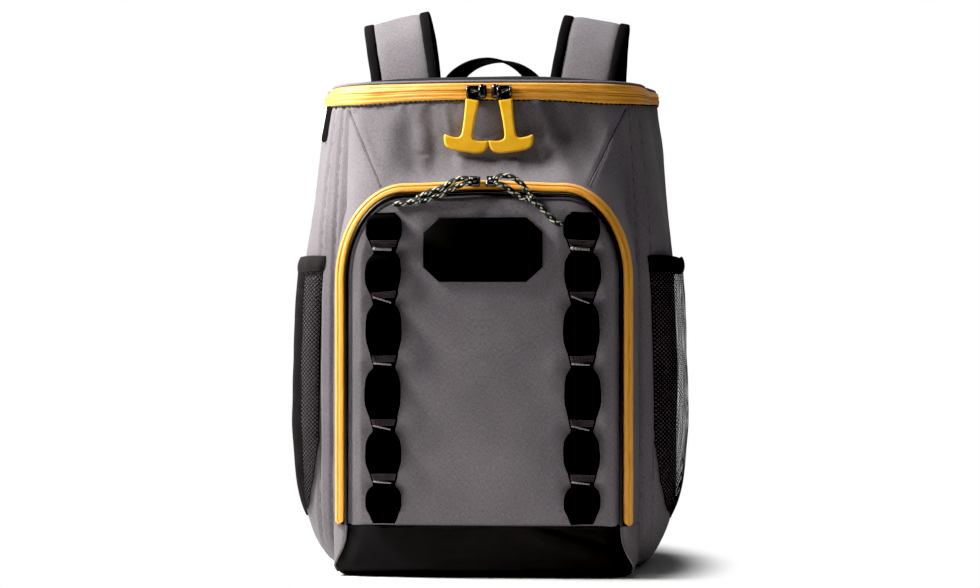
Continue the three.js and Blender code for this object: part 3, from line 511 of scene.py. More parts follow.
bodyLow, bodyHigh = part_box("body_shell")
body = {
    "top": bodyHigh.z,
    "halfWidth": 0.172,
    "front": 0.070,
    "back": 0.095,
    "corner": 0.042,
    "tuck": 0.014,
    "crown": 0.003,
    "topCorner": 0.057,  # the front corners are rounder at the top
    "splay": 0.0055,  # and the sides spread towards the back there
    "bow": 0.0125,
    "lean": -0.0012,
    "padding": 0.008,
    "columns": 440,
    "rows": 150,
}

# heights, widths and the draw-in at the floor, as shares of top, halfWidth and tuck
bodySections = table(
    "height width tuck",
    (0.007, 0.837, 1), (0.021, 0.868, 0.55), (0.047, 0.91, 0.22), (0.09, 0.954, 0.05), (0.146, 0.988, 0),
    (0.25, 1, 0), (0.4, 1, 0), (0.56, 0.992, 0), (0.71, 0.973, 0), (0.83, 0.945, 0), (0.93, 0.915, 0), (1, 0.89, 0),
    (1.06, 0.878, 0),
)

# half of the way round the body at a nominal width: front, corner, side, corner, back
flatRun = 0.165 - body["corner"]
cornerRun = pi / 2 * body["corner"]
sideRun = body["front"] + body["back"] - 2 * body["corner"]
halfRound = 2 * flatRun + 2 * cornerRun + sideRun


@lru_cache(maxsize=None)
def bodyAt(z):
    row = lookUp(bodySections, "height", z / body["top"])
    high = smooth(0.24, 0.42, z)
    half = row["width"] * body["halfWidth"]
    corner = mix(body["corner"], body["topCorner"], high)
    splay, bow = body["splay"] * high, body["bow"] * high
    start = atan(2 * bow / (half - splay - corner))
    return {
        "half": half,
        "front": body["front"] - row["tuck"] * body["tuck"],
        "back": body["back"] - row["tuck"] * body["tuck"],
        "corner": corner,
        "splay": splay,
        "bow": bow,
        "start": start,
        "edge": half - splay - corner + corner * sin(start),
        "lean": body["lean"] * smooth(0.1, 0.42, z),
    }


def bodyPoint(q, z, out=0.0):
    # the body's surface at a distance round from the front's middle, q to the right, and its outward direction
    at = bodyAt(z)
    r, rear, splay = at["corner"], body["corner"], at["splay"]
    sideFront = -at["front"] + at["bow"] + r * cos(at["start"])
    sideBack = at["back"] - rear
    side = 1 if q >= 0 else -1
    left = abs(q)
    if left < flatRun:
        t = left / flatRun
        angle = atan(2 * at["bow"] * t / at["edge"])
        x, y, nx, ny = at["edge"] * t, -at["front"] + at["bow"] * t * t, sin(angle), -cos(angle)
    elif left < flatRun + cornerRun:
        angle = mix(at["start"], pi / 2, (left - flatRun) / cornerRun)
        nx, ny = sin(angle), -cos(angle)
        x, y = at["half"] - splay - r + r * nx, sideFront + r * ny
    elif left < flatRun + cornerRun + sideRun:
        t = (left - flatRun - cornerRun) / sideRun
        swell = (1 - (2 * t - 1) ** 2) ** 2
        x = at["half"] + splay * (2 * smooth(0, 1, t) - 1) + body["crown"] * swell
        y = mix(sideFront, sideBack, t)
        slope = 12 * splay * t * (1 - t) / (sideBack - sideFront)
        nx, ny = 1 / hypot(1, slope), -slope / hypot(1, slope)
    elif left < flatRun + 2 * cornerRun + sideRun:
        angle = (left - flatRun - cornerRun - sideRun) / rear
        nx, ny = cos(angle), sin(angle)
        x, y = at["half"] + splay - rear + rear * nx, sideBack + rear * ny
    else:
        x, y, nx, ny = (at["half"] + splay - rear) * (halfRound - left) / flatRun, at["back"], 0, 1
    normal = Vector((side * nx, ny, 0))
    return Vector((side * x + at["lean"], y, z)) + normal * out, normal


# creases in the front's cloth, from one end to the other, in millimetres: across, up, width and depth
frontFolds = table(
    "x0 z0 x1 z1 width depth",
    (-62, 424, -54, 352, 6, 1.2), (-49, 424, -45, 360, 5, -0.6), (-38, 424, -32, 396, 4, 0.8),
    (-78, 424, -88, 366, 9, 1.0), (-110, 400, -90, 368, 5, -1.2), (-22, 372, -16, 346, 6, 2.4),
    (-66, 366, -52, 350, 4, -1.8), (8, 376, 6, 346, 7, -1.6), (28, 376, 34, 346, 5, 1.8), (44, 424, 76, 352, 9, 4.2),
    (62, 424, 92, 350, 9, -3.6), (84, 424, 104, 350, 12, -3.6), (34, 420, 52, 366, 4, -1.4),
)

# sewn lines down each corner: how far out they lie at each height, and how deep they are pressed in, in millimetres
cornerSeams = [
    {"depth": 1.2, "line": table("z x", (0, 136), (50, 139), (245, 137), (372, 133), (424, 129.5))},
    {"depth": 1.0, "line": table("z x", (0, 146), (50, 151), (284, 149), (342, 146.5), (374, 143.5), (424, 138.5))},
]
# the sewn darts from the corner seam down to the pocket, in millimetres
darts = {"x0": 126, "z0": 419, "x1": 90, "z1": 343}


def lineDistance(x, z, row):
    # how far a point lies beside a line, and how far along it, from 0 to 1
    dx, dz = row["x1"] - row["x0"], row["z1"] - row["z0"]
    long = hypot(dx, dz)
    along = ((x - row["x0"]) * dx + (z - row["z0"]) * dz) / long**2
    beside = ((x - row["x0"]) * dz - (z - row["z0"]) * dx) / long
    return beside, along


def foldRelief(x, z, folds):
    # metres out of the cloth, for a place in millimetres
    out = 0
    for row in folds:
        beside, along = lineDistance(x, z, row)
        if abs(beside) < 3 * row["width"] and -0.4 < along < 1.4:
            fade = smooth(-0.35, 0.15, along) * (1 - smooth(0.85, 1.35, along))
            out += row["depth"] * bell(beside, row["width"]) * fade
    return out * mm


@lru_cache(maxsize=None)
def seamAt(index, z):
    # how far round a seam lies at one height
    return bodyQ(lookUp(cornerSeams[index]["line"], "z", z * 1000)["x"] * mm, z)


def bodyRelief(q, z):
    side = abs(q)
    slack = smooth(0.02, 0.1, z) * (1 - 0.7 * smooth(body["top"] - 0.02, body["top"], z))
    out = slack * (1.3 * rough(q, 0, z, 0.075, 2) + 0.6 * rough(q, 0, z, 0.03, 5)) * mm
    out += 0.14 * mm * rough(q, 0, z, 0.009, 8)
    if side < flatRun + cornerRun:
        point = bodyPoint(q, z)[0]
        out += foldRelief(point.x * 1000, z * 1000, frontFolds)
        beside, along = lineDistance(abs(point.x) * 1000, z * 1000, darts)
        if -0.03 < along < 1.1:
            out += (-1.3 * bell(beside, 1.4) + 0.9 * bell(beside - 4, 2.6) + 0.4 * bell(beside + 5, 4)) * mm
    if 0.1 < side < 0.2:
        for index, seam in enumerate(cornerSeams):
            away = side - seamAt(index, z)
            out -= seam["depth"] * bell(away, 1.3 * mm) * mm
            out += 0.6 * (bell(away + 4 * mm, 2.6 * mm) + bell(away - 4 * mm, 2.6 * mm)) * mm
    # small gathers where the cloth is sewn to the zip
    below = bandLow(q) - z
    if below < 0.03:
        gather = sin(q / 0.0021 + 3 * rough(q, 0, 0, 0.02, 4)) * (0.6 + 0.5 * rough(q, 0, 0, 0.011, 14))
        out += (0.5 * gather * bell(below - 0.002, 0.006) - 0.7 * bell(below, 0.0025)) * mm
    return out


def bodyQ(x, z):
    # how far round the front a place across it is
    at = bodyAt(z)
    x -= at["lean"]
    if abs(x) <= at["edge"]:
        return x * flatRun / at["edge"]
    angle = asin(min((abs(x) - at["half"] + at["splay"] + at["corner"]) / at["corner"], 1))
    share = (angle - at["start"]) / (pi / 2 - at["start"])
    return copysign(flatRun + cornerRun * share, x)


# the lower edge of the zip band, where the bag's cloth ends: millimetres over the band's box at a way round
bandEdge = table(
    "round up",
    (0, 1.6), (0.07, 0.9), (0.125, -1.3), (0.15, -0.6), (0.19, 2.2), (0.24, 5.5), (0.29, 6), (0.34, 0.4), (0.6, 0.4),
)


zipLow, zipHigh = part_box("top_zip_band")


@lru_cache(maxsize=None)
def bandLow(q):
    return zipLow.z + lookUp(bandEdge, "round", abs(q))["up"] * mm


def onBody(q, z, out=0.0):
    point, normal = bodyPoint(q, z)
    return point + normal * (bodyRelief(q, z) + out)


def spread(stops, s):
    # evens out a grid's columns: rows of (share of columns, value)
    for (s0, v0), (s1, v1) in zip(stops, stops[1:]):
        if s <= s1:
            return mix(v0, v1, (s - s0) / (s1 - s0))
    return stops[-1][1]


bodyMiddle = Vector((0, (body["back"] - body["front"]) / 2, 0))


def makeBody():
    wrap = flatRun + cornerRun + sideRun
    stops = [(0, -halfRound), (0.1, -wrap), (0.2, -0.2), (0.8, 0.2), (0.9, wrap), (1, halfRound)]
    levels = [(0, bodyLow.z), (0.42, 0.3), (1, body["top"])]

    def place(s, t):
        q, z = spread(stops, s), spread(levels, t)
        meet = 0.5 * smooth(halfRound - 0.02, halfRound, abs(q))  # both ends meet at the middle of the back
        if z > 0.3:
            z = mix(0.3, mix(bandLow(q), bandLow(-q), meet) + 0.0006, (z - 0.3) / (body["top"] - 0.3))
        point, normal = bodyPoint(q, z)
        relief = mix(bodyRelief(q, z), bodyRelief(-q, z), meet) if meet else bodyRelief(q, z)
        return point + normal * relief, (q, z)

    bm = clothGrid(body["columns"], body["rows"], place, close=True)
    # the rim and the inner wall grow from the top edge, and both floors from the edges that are left low down
    for start, steps in (("top", [(0.5, 0), (0.5, 0.01), (0, 0.2), (0, 0.18)]), ("low", [(2, 0), (4, 0)])):
        edges = [e for e in bm.edges if e.is_boundary and (e.verts[0].co.z > 0.2) == (start == "top")]
        for inset, drop in steps:
            grown = bmesh.ops.extrude_edge_only(bm, edges=edges)["geom"]
            edges = [g for g in grown if isinstance(g, bmesh.types.BMEdge)]
            for vert in [g for g in grown if isinstance(g, bmesh.types.BMVert)]:
                aim = Vector((vert.co.x, vert.co.y, 0)) - bodyMiddle
                vert.co -= aim.normalized() * inset * body["padding"] + Vector((0, 0, drop))
        if start == "low":
            bmesh.ops.holes_fill(bm, edges=edges, sides=0)
    addPiece("bodyCloth", bm, greyCanvas, "body_shell")


makeBody()
print("body done")


# Top zip, lid and hinge

topZip = {"reach": 0.283, "columns": 300}  # how far round from the middle it runs
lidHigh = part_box("lid")[1]
rimLow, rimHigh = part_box("lid_binding")

# the zip across: share of its height and millimetres out
topZipProfile = table(
    "up out",
    (0, 0.1), (0.04, 1.3), (0.14, 2.0), (0.24, 1.9), (0.38, 2.4), (0.44, 1.5), (0.5, 1.9), (0.56, 1.4), (0.62, 2.4),
    (0.76, 1.9), (0.88, 1.7), (0.96, 1.2), (1, 0.0),
)


def makeTopZip():
    def place(s, t):
        q = mix(-topZip["reach"], topZip["reach"], s)
        row = lookUp(topZipProfile, "up", t)
        z = mix(bandLow(q), zipHigh.z + 0.9 * mm, t)
        wave = 0.5 * rough(q, 0, z, 0.03, 6) + 0.2 * rough(q * 0.3, 0, z, 0.005, 1)
        point, normal = bodyPoint(q, z)
        return point + normal * (row["out"] + wave) * mm, (z, q)

    bm = clothGrid(topZip["columns"], 54, place)
    addPiece("topZipTape", bm, orangeTape, "top_zip_band", wall=1.2 * mm)

    # the dark seam that gathers the bag's cloth to the tape: its stitching, with painted shade along the gather
    count = topZip["columns"]
    ways = [mix(-topZip["reach"], topZip["reach"], i / count) for i in range(count + 1)]
    bm = tube(
        [bodyPoint(q, bandLow(q) - 0.3 * mm, 0.9 * mm)[0] for q in ways], 0.8 * mm, 6, 1500,
        shape=lambda s, way: 0.75 + 0.35 * sin(way / 0.00075) + 0.3 * rough(way, 0, 0, 0.012, 33),
    )
    addPiece("topZipSeam", bm, darkThread)


def makeLid():
    def rim(s, t):
        q, angle = mix(-halfRound, halfRound, s), 2 * pi * t
        point, normal = bodyPoint(q, (rimLow.z + rimHigh.z) / 2, -1.6 * mm)
        full = (1 + 0.12 * rough(q, 0, 0, 0.02, 3)) * mm
        point += normal * cos(angle) * 1.7 * full + Vector((0, 0, sin(angle) * 1.5 * full))
        return point, (q, t * 0.012)

    def top(s, t):
        point = bodyPoint(mix(-halfRound, halfRound, s), rimLow.z, -0.003)[0]
        flat = bodyMiddle + (Vector((point.x, point.y, 0)) - bodyMiddle) * (1 - t)
        rise = (lidHigh.z - rimHigh.z) * sin(pi / 2 * min(1, 1.25 * t)) ** 0.8
        crease = 1.2 * rough(flat.x, flat.y, 0, 0.06, 9) * smooth(0, 0.3, t) - 1.2 * bell(t - 0.1, 0.012)
        return Vector((flat.x, flat.y, rimHigh.z - 0.001 + rise + crease * mm)), (flat.x, flat.y)

    def hinge(s, t):
        q = mix(topZip["reach"] + 0.002, 2 * halfRound - topZip["reach"] - 0.002, s)
        z = mix(zipLow.z, zipHigh.z, t)
        round = q if q <= halfRound else q - 2 * halfRound
        return bodyPoint(round, z, (0.5 + 1.2 * sin(pi * t)) * mm)[0], (q, z)

    addPiece("lidRim", clothGrid(260, 10, rim, close=True), greyCanvas, "lid_binding")
    addPiece("lidCloth", clothGrid(200, 44, top, close=True), lidCanvas, "lid")
    addPiece("lidHinge", clothGrid(120, 8, hinge), greyCanvas, "lid_hinge", wall=2 * mm)


lidCanvas = canvas("blackLidCanvas", "#080707", "#100f0f", "#191717", 0.5 * mm, roughness=0.95)
makeTopZip()
makeLid()
print("lid and top zip done")


# Front pocket

pocket = {
    "bottom": 0.0465,
    "top": 0.349,
    "topCrown": 0.0025,
    "halfWidth": 0.132,
    "cornerWidth": 0.062,
    "cornerHeight": 0.086,
    "flare": 0.006,
    "edge": 0.097,  # how far forward the outer edge of its zip is
    "face": 0.103,  # and the inner edge
    "crown": 0.0075,
    "puff": 0.0032,
    "zipWidth": 0.0085,
}


def archPoint(s, inset):
    # the arch from its left foot over the top to its right foot, drawn in by an inset, with the way along it
    half = pocket["halfWidth"] - inset
    rx, rz = pocket["cornerWidth"] - inset, pocket["cornerHeight"] - inset
    high = pocket["top"] - inset
    straight = pocket["top"] - pocket["cornerHeight"] - pocket["bottom"]
    bend = 0.117
    top = 2 * (pocket["halfWidth"] - pocket["cornerWidth"])
    total = 2 * (straight + bend) + top
    way = s * total
    side = -1
    if way > total / 2:
        way, side = total - way, 1
    if way < straight:
        x, z = half, mix(pocket["bottom"], high - rz, way / straight)
    elif way < straight + bend:
        angle = (way - straight) / bend * pi / 2
        x, z = half - rx + rx * cos(angle), high - rz + rz * sin(angle)
    else:
        t = (way - straight - bend) / (top / 2)
        x, z = (half - rx) * (1 - t), high + pocket["topCrown"] * t * t * (3 - 2 * t)
    return side * x, z, s * total


def pocketFront(x, z):
    # the panel's swelling, as a distance forward
    panelHalf = pocket["halfWidth"] - pocket["zipWidth"]
    rise = (z - pocket["bottom"]) / (pocket["top"] - pocket["zipWidth"] - pocket["bottom"])
    rise = min(max(rise, 0), 1)
    across = 1 - min(abs(x / panelHalf), 1) ** 2.1
    along = 1 - abs((rise - 0.35) / 0.65) ** 3
    edge = pocket["puff"] * smooth(0, 0.014, archBow(x, z, pocket["zipWidth"] + 0.0022))
    return pocket["face"] + pocket["crown"] * across * along + edge


def archBow(x, z, inset):
    # how deep inside the arch a place is, in metres
    half = pocket["halfWidth"] - inset
    rx, rz = pocket["cornerWidth"] - inset, pocket["cornerHeight"] - inset
    cx, cz = half - rx, pocket["top"] - inset - rz
    if abs(x) > cx and z > cz:
        dx, dz = (abs(x) - cx) / rx, (z - cz) / rz
        away = hypot(dx, dz)
        return (1 - away) * mix(rx, rz, dz / max(away, 1e-6))
    high = pocket["top"] - inset + pocket["topCrown"] * (1 - min(abs(x) / max(cx, 1e-6), 1)) ** 2
    return min(half - abs(x), high - z)


# how far from the arch the bag's cloth begins to be drawn forward, beside the pocket and above it
cove = {
    "beside": 0.0062,
    "above": 0.082,
    "seam": 0.127,
    "high": 0.4205,
    "steepBeside": 1.5,
    "steepAbove": 1.2,
    "steepMiddle": 4.2,
    "steepRight": 2.8,
    "hold": 0.0736,
}


def makePocketWall():
    half = archPoint(0.5, 0)[2]
    straight = pocket["top"] - pocket["cornerHeight"] - pocket["bottom"]

    def place(s, t):
        way = min(s, 1 - s) * 2 * half
        over = smooth(straight - 0.02, straight + 0.1, way)
        x, z, unused = archPoint(s, 0)
        farX, farZ, unused = archPoint(s, -mix(cove["beside"], cove["above"], over**0.8))
        limit = max(cove["seam"], abs(x) + cove["beside"] * (1 - over))
        farX = copysign(min(abs(farX), limit), farX)
        x, z = mix(farX, x, t), mix(min(farZ, cove["high"]), z, t)
        base = onBody(bodyQ(x, z), z, -0.5 * mm)
        steep = mix(cove["steepAbove"], cove["steepMiddle"], smooth(-0.092, -0.034, x))
        steep = mix(steep, cove["steepRight"], smooth(0.048, 0.085, x))
        rise = t ** mix(cove["steepBeside"], steep, over)
        fan = sin(way / 0.0075 + 2 * rough(way, 0, 0, 0.03, 17)) * (0.5 + rough(way, 0, 0, 0.02, 18))
        slack = over * sin(pi * t) ** 1.5 * (0.9 * fan + 1.4 * rough(x, 0, z, 0.03, 19)) * mm
        y = mix(base.y, -pocket["edge"], rise) - slack
        # the cloth stays behind the two pulls
        behind = smooth(-0.07, -0.042, x) * smooth(0.07, 0.047, x)
        limit = -mix(cove["hold"], 0.2, smooth(0.377, 0.340, z))
        return Vector((x, mix(y, max(y, limit), behind), z)), (x, z)

    addPiece("pocketWall", clothGrid(420, 60, place), greyCanvas)


# the pocket's zip across, from its inner to its outer edge: share of its width and millimetres out
pocketZipProfile = table(
    "over out",
    (0, 0.4), (0.04, 1.3), (0.2, 2.3), (0.4, 2.6), (0.45, 1.4), (0.5, 2.2), (0.55, 1.4), (0.6, 2.6), (0.8, 2.2),
    (0.96, 1.2), (1, 0.2),
)


def makePocketZip():
    depth = pocket["face"] - pocket["edge"]
    slope = hypot(pocket["zipWidth"], depth)

    def place(s, t):
        foot = min(min(s, 1 - s) / 0.006, 1)  # both ends are rounded off
        t = 0.5 + (t - 0.5) * (0.25 + 0.75 * sqrt(1 - (1 - foot) ** 2))
        inset = pocket["zipWidth"] * (1 - t)
        wave = 0.3 * rough(archPoint(s, inset)[2], t * 0.01, 0, 0.025, 3)
        lift = (lookUp(pocketZipProfile, "over", t)["out"] + wave) * mm
        x, z, way = archPoint(s, inset - depth / slope * lift)
        y = -mix(pocket["face"], pocket["edge"], t) - pocket["zipWidth"] / slope * lift
        return Vector((x, y, z)), (t * slope, way)

    addPiece("pocketZipTape", clothGrid(300, 26, place), orangeTape, "pocket_zip", wall=1.0 * mm)
    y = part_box("pocket_piping")[0].y + 1.8 * mm
    arch = [archPoint(i / 60, pocket["zipWidth"] + 1.9 * mm) for i in range(61)]
    bm = tube([Vector((x, y, z)) for x, z, way in arch], 1.6 * mm, 10, 240)
    addPiece("pocketPiping", bm, pipingVinyl, "pocket_piping")


chainX = 0.0875
chainTacks = [0, 0.125, 0.29, 0.495, 0.7, 0.875, 1]
chainLow, chainTop = (corner.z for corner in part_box("webbing_chain_left"))
tackHeights = [mix(chainTop, chainLow, share) for share in chainTacks]

# soft dents and swells of the pocket's panel, in millimetres
panelFolds = table(
    "x0 z0 x1 z1 width depth",
    (-112, 300, -114, 70, 9, 1.6), (-104, 316, -96, 300, 7, -1.2), (4, 338, 2, 318, 8, -1.6),
    (-52, 336, -58, 300, 9, 1.4), (60, 336, 66, 300, 8, 1.4), (108, 290, 112, 80, 9, 1.5),
    (-20, 230, 20, 90, 34, 1.2),
)


def panelRelief(x, z):
    out = (1.1 * rough(x, 0, z, 0.09, 11) + 0.45 * rough(x, 0, z, 0.028, 12) + 0.1 * rough(x, 0, z, 0.008, 13)) * mm
    out += foldRelief(x * 1000, z * 1000, panelFolds)
    side = abs(x) - chainX
    for height in tackHeights[1:-1]:
        away = z - height
        if abs(away) < 0.04 and abs(side) < 0.05:
            out -= 1.7 * mm * bell(away, 0.009) * bell(side, 0.017)
            out += 1.0 * mm * bell(away - 0.001, 0.008) * (bell(side - 0.024, 0.008) + bell(side + 0.024, 0.008))
    return out


def makePanel():
    inset = pocket["zipWidth"] + 2.2 * mm
    half = pocket["halfWidth"] - inset
    rx, rz = pocket["cornerWidth"] - inset, pocket["cornerHeight"] - inset
    high = pocket["top"] - inset
    flat = half - rx
    share = flat / (flat + 0.11)

    def place(s, t):
        u = abs(2 * s - 1)
        side = 1 if s >= 0.5 else -1
        if u < share:
            x, roof = flat * u / share, high + pocket["topCrown"] * smooth(1, 0, u / share)
        else:
            angle = (u - share) / (1 - share) * pi / 2
            x, roof = flat + rx * sin(angle), high - rz + rz * cos(angle)
        z = mix(pocket["bottom"], roof, t)
        x *= side
        deep = max(archBow(x, z, inset), 0)
        roll = 0.0055 * (1 - sqrt(1 - (1 - min(deep / 0.0085, 1)) ** 2))
        calm = smooth(0, 0.02, deep) * smooth(0, 0.012, z - pocket["bottom"] + 0.004)
        y = -pocketFront(x, z) + roll - calm * panelRelief(x, z) - 0.8 * mm * bell(deep - 0.006, 0.003)
        return Vector((x, y, z)), (x, z)

    addPiece("pocketPanel", clothGrid(210, 200, place), greyCanvas, "front_pocket", wall=2.2 * mm)


# the welts and threads that show along the seams: the welt beside the seam, the dark thread in it, which also paints
# the shade in the seam's crease, in millimetres
seamCord = {"welt": 0.5, "beside": 1.6, "thread": 0.36}


def makeSeams():
    graph = bpy.context.evaluated_depsgraph_get()
    trees = [BVHTree.FromObject(bpy.data.objects[name], graph) for name in ("bodyCloth", "pocketWall")]
    threads, welts = [], []
    for side, word in sides:
        for seam in range(len(cornerSeams)):
            heights = [mix(0.012, body["top"] - 0.002, i / 60) for i in range(61)]
            row = [onBody(side * seamAt(seam, z), z, -0.1 * mm) for z in heights]
            threads.append(tube(row, seamCord["thread"] * mm, 6, 240))
        for parts, beside, radius in ((threads, 0, "thread"), (welts, seamCord["beside"], "welt")):
            row = []
            for i in range(41):
                x, z = mix(darts["x0"], darts["x1"], i / 40), mix(darts["z0"], darts["z1"], i / 40)
                start = Vector((side * (x + 0.88 * beside) * mm, -0.3, (z - 0.47 * beside) * mm))
                # where the cloth is drawn forward to the pocket, the seam lies on that cloth
                hits = [tree.ray_cast(start, Vector((0, 1, 0)))[0] for tree in trees]
                row.append(min((hit for hit in hits if hit), key=lambda hit: hit.y) + Vector((0, 0.1 * mm, 0)))
            row = row[:1] + [(a + b * 2 + c) / 4 for a, b, c in zip(row, row[1:], row[2:])] + row[-1:]
            parts.append(tube(row, seamCord[radius] * mm, 8, 160))
    # the dark threads also paint the shade in the seam and dart creases
    addPiece("seamThreads", joined(threads), darkThread)
    addPiece("dartWelts", joined(welts), greyCanvas)


makePocketWall()
makeSeams()
makePocketZip()
makePanel()
print("front pocket done")


# Base panel and corner gussets

# from the pocket down, round the front edge and back under the bag: how far back, how high, half width in millimetres
bootProfile = table(
    "way back up half",
    (0, -1.2, 46.6, 120.8), (0.06, -0.4, 43, 121), (0.18, 0.4, 30, 122.8), (0.28, 1.6, 18.6, 127.8),
    (0.36, 4.4, 10.2, 132), (0.42, 9.4, 3.7, 130), (0.46, 17, 0.2, 125.4), (0.7, 112, 0, 125.4), (1, 181, 0, 122.9),
)


def makeBoot():
    def place(s, t):
        row = lookUp(bootProfile, "way", t)
        across = 2 * s - 1
        x = across * row["half"] * mm
        front = pocketFront(across * (pocket["halfWidth"] - pocket["zipWidth"]), pocket["bottom"])
        y = -front + row["back"] * mm
        standing = smooth(0, 0.05, t) * (1 - smooth(0.36, 0.44, t))
        crease = (1.2 * rough(x, 0, t * 0.15, 0.05, 21) + 0.5 * rough(x, 0, t * 0.15, 0.018, 22)) * standing
        slant = foldRelief(x * 1000, row["up"], bootFolds) * standing
        return Vector((x, y - crease * mm - slant, max(row["up"], 0) * mm)), (x, t * 0.25)

    bm = clothGrid(150, 130, place, flip=True)
    addPiece("baseBoot", bm, blackBootCanvas, "base_boot", wall=2.4 * mm)
    # the pale piping that edges the base panel at each corner
    front = pocketFront(pocket["halfWidth"] - pocket["zipWidth"], pocket["bottom"]) + 0.3 * mm
    for side, word in sides:
        rows = [lookUp(bootProfile, "way", mix(0.02, 0.42, i / 8)) for i in range(9)]
        points = [Vector((side * (row["half"] + 0.7), row["back"], row["up"])) * mm for row in rows]
        bm = tube([point - Vector((0, front, 0)) for point in points], 0.9 * mm, 8, 40)
        addPiece("bootPiping" + word, bm, edgePiping)


bootFolds = table(
    "x0 z0 x1 z1 width depth",
    (30, 42, 96, 22, 6, 1.6), (60, 44, 108, 30, 4, -1.2), (-100, 40, -60, 14, 8, 1.0),
)

gussetRows = table(
    "up half back", (10.2, 132.8, 4.6), (18.6, 128.6, 1.6), (30, 124.0, 0.6), (46.4, 121.4, -1.0)
)


def makeGussets():
    seam = pocket["halfWidth"] + pocket["flare"]
    for side, word in sides:
        def place(s, t, side=side):
            row = lookUp(gussetRows, "up", mix(10.2, 46.4, t))
            z = row["up"] * mm
            half, front = bodyAt(z)["half"], bodyAt(z)["front"]
            past = min(max(seam - (half - body["corner"]), 0), body["corner"])
            seat = -front + body["corner"] - sqrt(body["corner"] ** 2 - past**2) - 0.001
            x = mix(row["half"] * mm, seam, s ** 0.6)
            y = mix(-pocket["face"] + (row["back"] + 1) * mm, seat, s)
            swell = 1.2 * mm * sin(pi * s) * sin(pi * t)
            return Vector((side * (x + swell), y - swell, z)), (x + y, z)

        bm = clothGrid(24, 24, place, flip=side < 0)
        addPiece("gusset" + word, bm, greyCanvas, "corner_gusset_" + word.lower(), wall=2 * mm)


blackBootCanvas = canvas("blackBaseCanvas", "#060405", "#0d0a0b", "#151113", 0.5 * mm, roughness=0.85)
edgePiping = moulded("edgePiping", "#4a4546", "#6b6667", 0.5 * mm, 0.4)
makeBoot()
makeGussets()
print("base done")


# Webbing chains, sewn down in loops

chain = {"halfWidth": 0.0160, "pinch": 0.0096, "lift": 0.0092, "cloth": 0.0014, "rows": 330, "columns": 14}

# one loop between two sewn places: way along, how far it stands out and how wide it is
chainLoop = table(
    "along lift width",
    (0, 0, 0), (0.03, 0.0, 0.05), (0.1, 0.62, 0.5), (0.2, 0.94, 0.85), (0.4, 1.0, 1.0), (0.58, 0.96, 0.95),
    (0.7, 0.7, 0.7), (0.78, 0.3, 0.5), (0.82, 0.05, 0.42), (0.86, 0.0, 0.35), (1, 0, 0.0),
)

# each loop hangs a little differently: its fullness, its lean and how far it is pushed sideways, left then right
chainLoops = {
    -1: [(1.0, 0.1, 0.3), (0.95, 0.75, -0.2), (1.1, 0.2, 0.4), (1.0, -0.15, -0.3), (1.05, 0.1, 0.2), (0.6, 0, 0)],
    1: [(0.95, -0.2, -0.3), (1.0, 0.1, 0.2), (1.08, 0.35, -0.3), (0.95, -0.4, 0.4), (1.1, -0.2, -0.4), (0.6, 0.3, 0)],
}


def chainPlace(side, s, t):
    loop = max(i for i in range(len(chainTacks) - 1) if chainTacks[i] <= t + 1e-9)
    row = lookUp(chainLoop, "along", (t - chainTacks[loop]) / (chainTacks[loop + 1] - chainTacks[loop]))
    full, lean, push = chainLoops[side][loop]
    raised = max(row["lift"], 0)
    z = mix(chainTop, chainLow, t)
    across = 2 * s - 1
    x = side * chainX + across * mix(chain["pinch"], chain["halfWidth"], row["width"])
    x += (push * raised * 1.6 + 0.5 * rough(0, side, z, 0.03, 31)) * mm
    front = max(pocketFront(x, z), pocketFront(side * chainX, z))
    lift = raised * full * chain["lift"] * (1 - 0.14 * across**2) + across * lean * raised * 1.8 * mm
    cup = 0.5 * mm * abs(across) ** 3 * (1 - raised)
    z += lean * across * mix(1.2, 2.8, raised) * mm
    return Vector((x, -front - 1.0 * mm - max(lift, 0) - cup, z)), (across * 0.0155, -t * 0.33)


# how the pale bars slant, from the top one down: their pale colour is a painted highlight on each loop's sewn lip
barSlants = [0.05, 0.42, 0.1, 0.2, 0.1]
# bar tack thread: real stitches, painted mid grey so that the webbing's sewn places look lit
stitchThread = moulded("stitchThread", "#3a3637", "#4c4849", 0.4 * mm, 0.8, specular=0.2)


def makeChain(side, word):
    bm = clothGrid(chain["columns"], chain["rows"], lambda s, t: chainPlace(side, s, t), flip=True)
    node = "webbing_chain_" + word.lower()
    addPiece("chain" + word, bm, blackWebbing, node, wall=chain["cloth"])

    def sewRow(index, shift, radius, wide, slant=0):
        at = chainTacks[index + 1] + shift * mm / (chainTop - chainLow)
        shares = [0.06 + wide * i / 12 for i in range(13)]
        drops = [Vector((0, -0.9 * mm, -slant * (share - 0.5) * 0.02)) for share in shares]
        row = [chainPlace(side, share, at)[0] + drop for share, drop in zip(shares, drops)]
        return tube(row, radius * mm, 8, 60, shape=lambda s, way: 0.85 + 0.3 * abs(sin(way / 0.0009)))

    # each sewn place has close rows of dark stitches, real bar tacks whose mid grey also paints the lit look of the
    # flat webbing, and a pale bar of stitches under them whose colour is a painted highlight on the loop's lip
    dark = [sewRow(index, -9.4 + 1.3 * i, 0.55, 0.88) for i in range(5) for index in range(5)]
    pale = [sewRow(index, -1.9, 0.8 if index else 1.5, 0.74, slant) for index, slant in enumerate(barSlants)]
    addPiece("chain" + word + "StitchesDark", joined(dark), stitchThread)
    addPiece("chain" + word + "StitchesPale", joined(pale), greyThread)


for side, word in sides:
    makeChain(side, word)
print("webbing chains done")


# Badge: an eight sided moulded plate, left without any lettering

badge = {"width": 0.105, "height": 0.057, "cornerX": 0.014, "cornerZ": 0.013, "z": 0.290, "thick": 0.003}


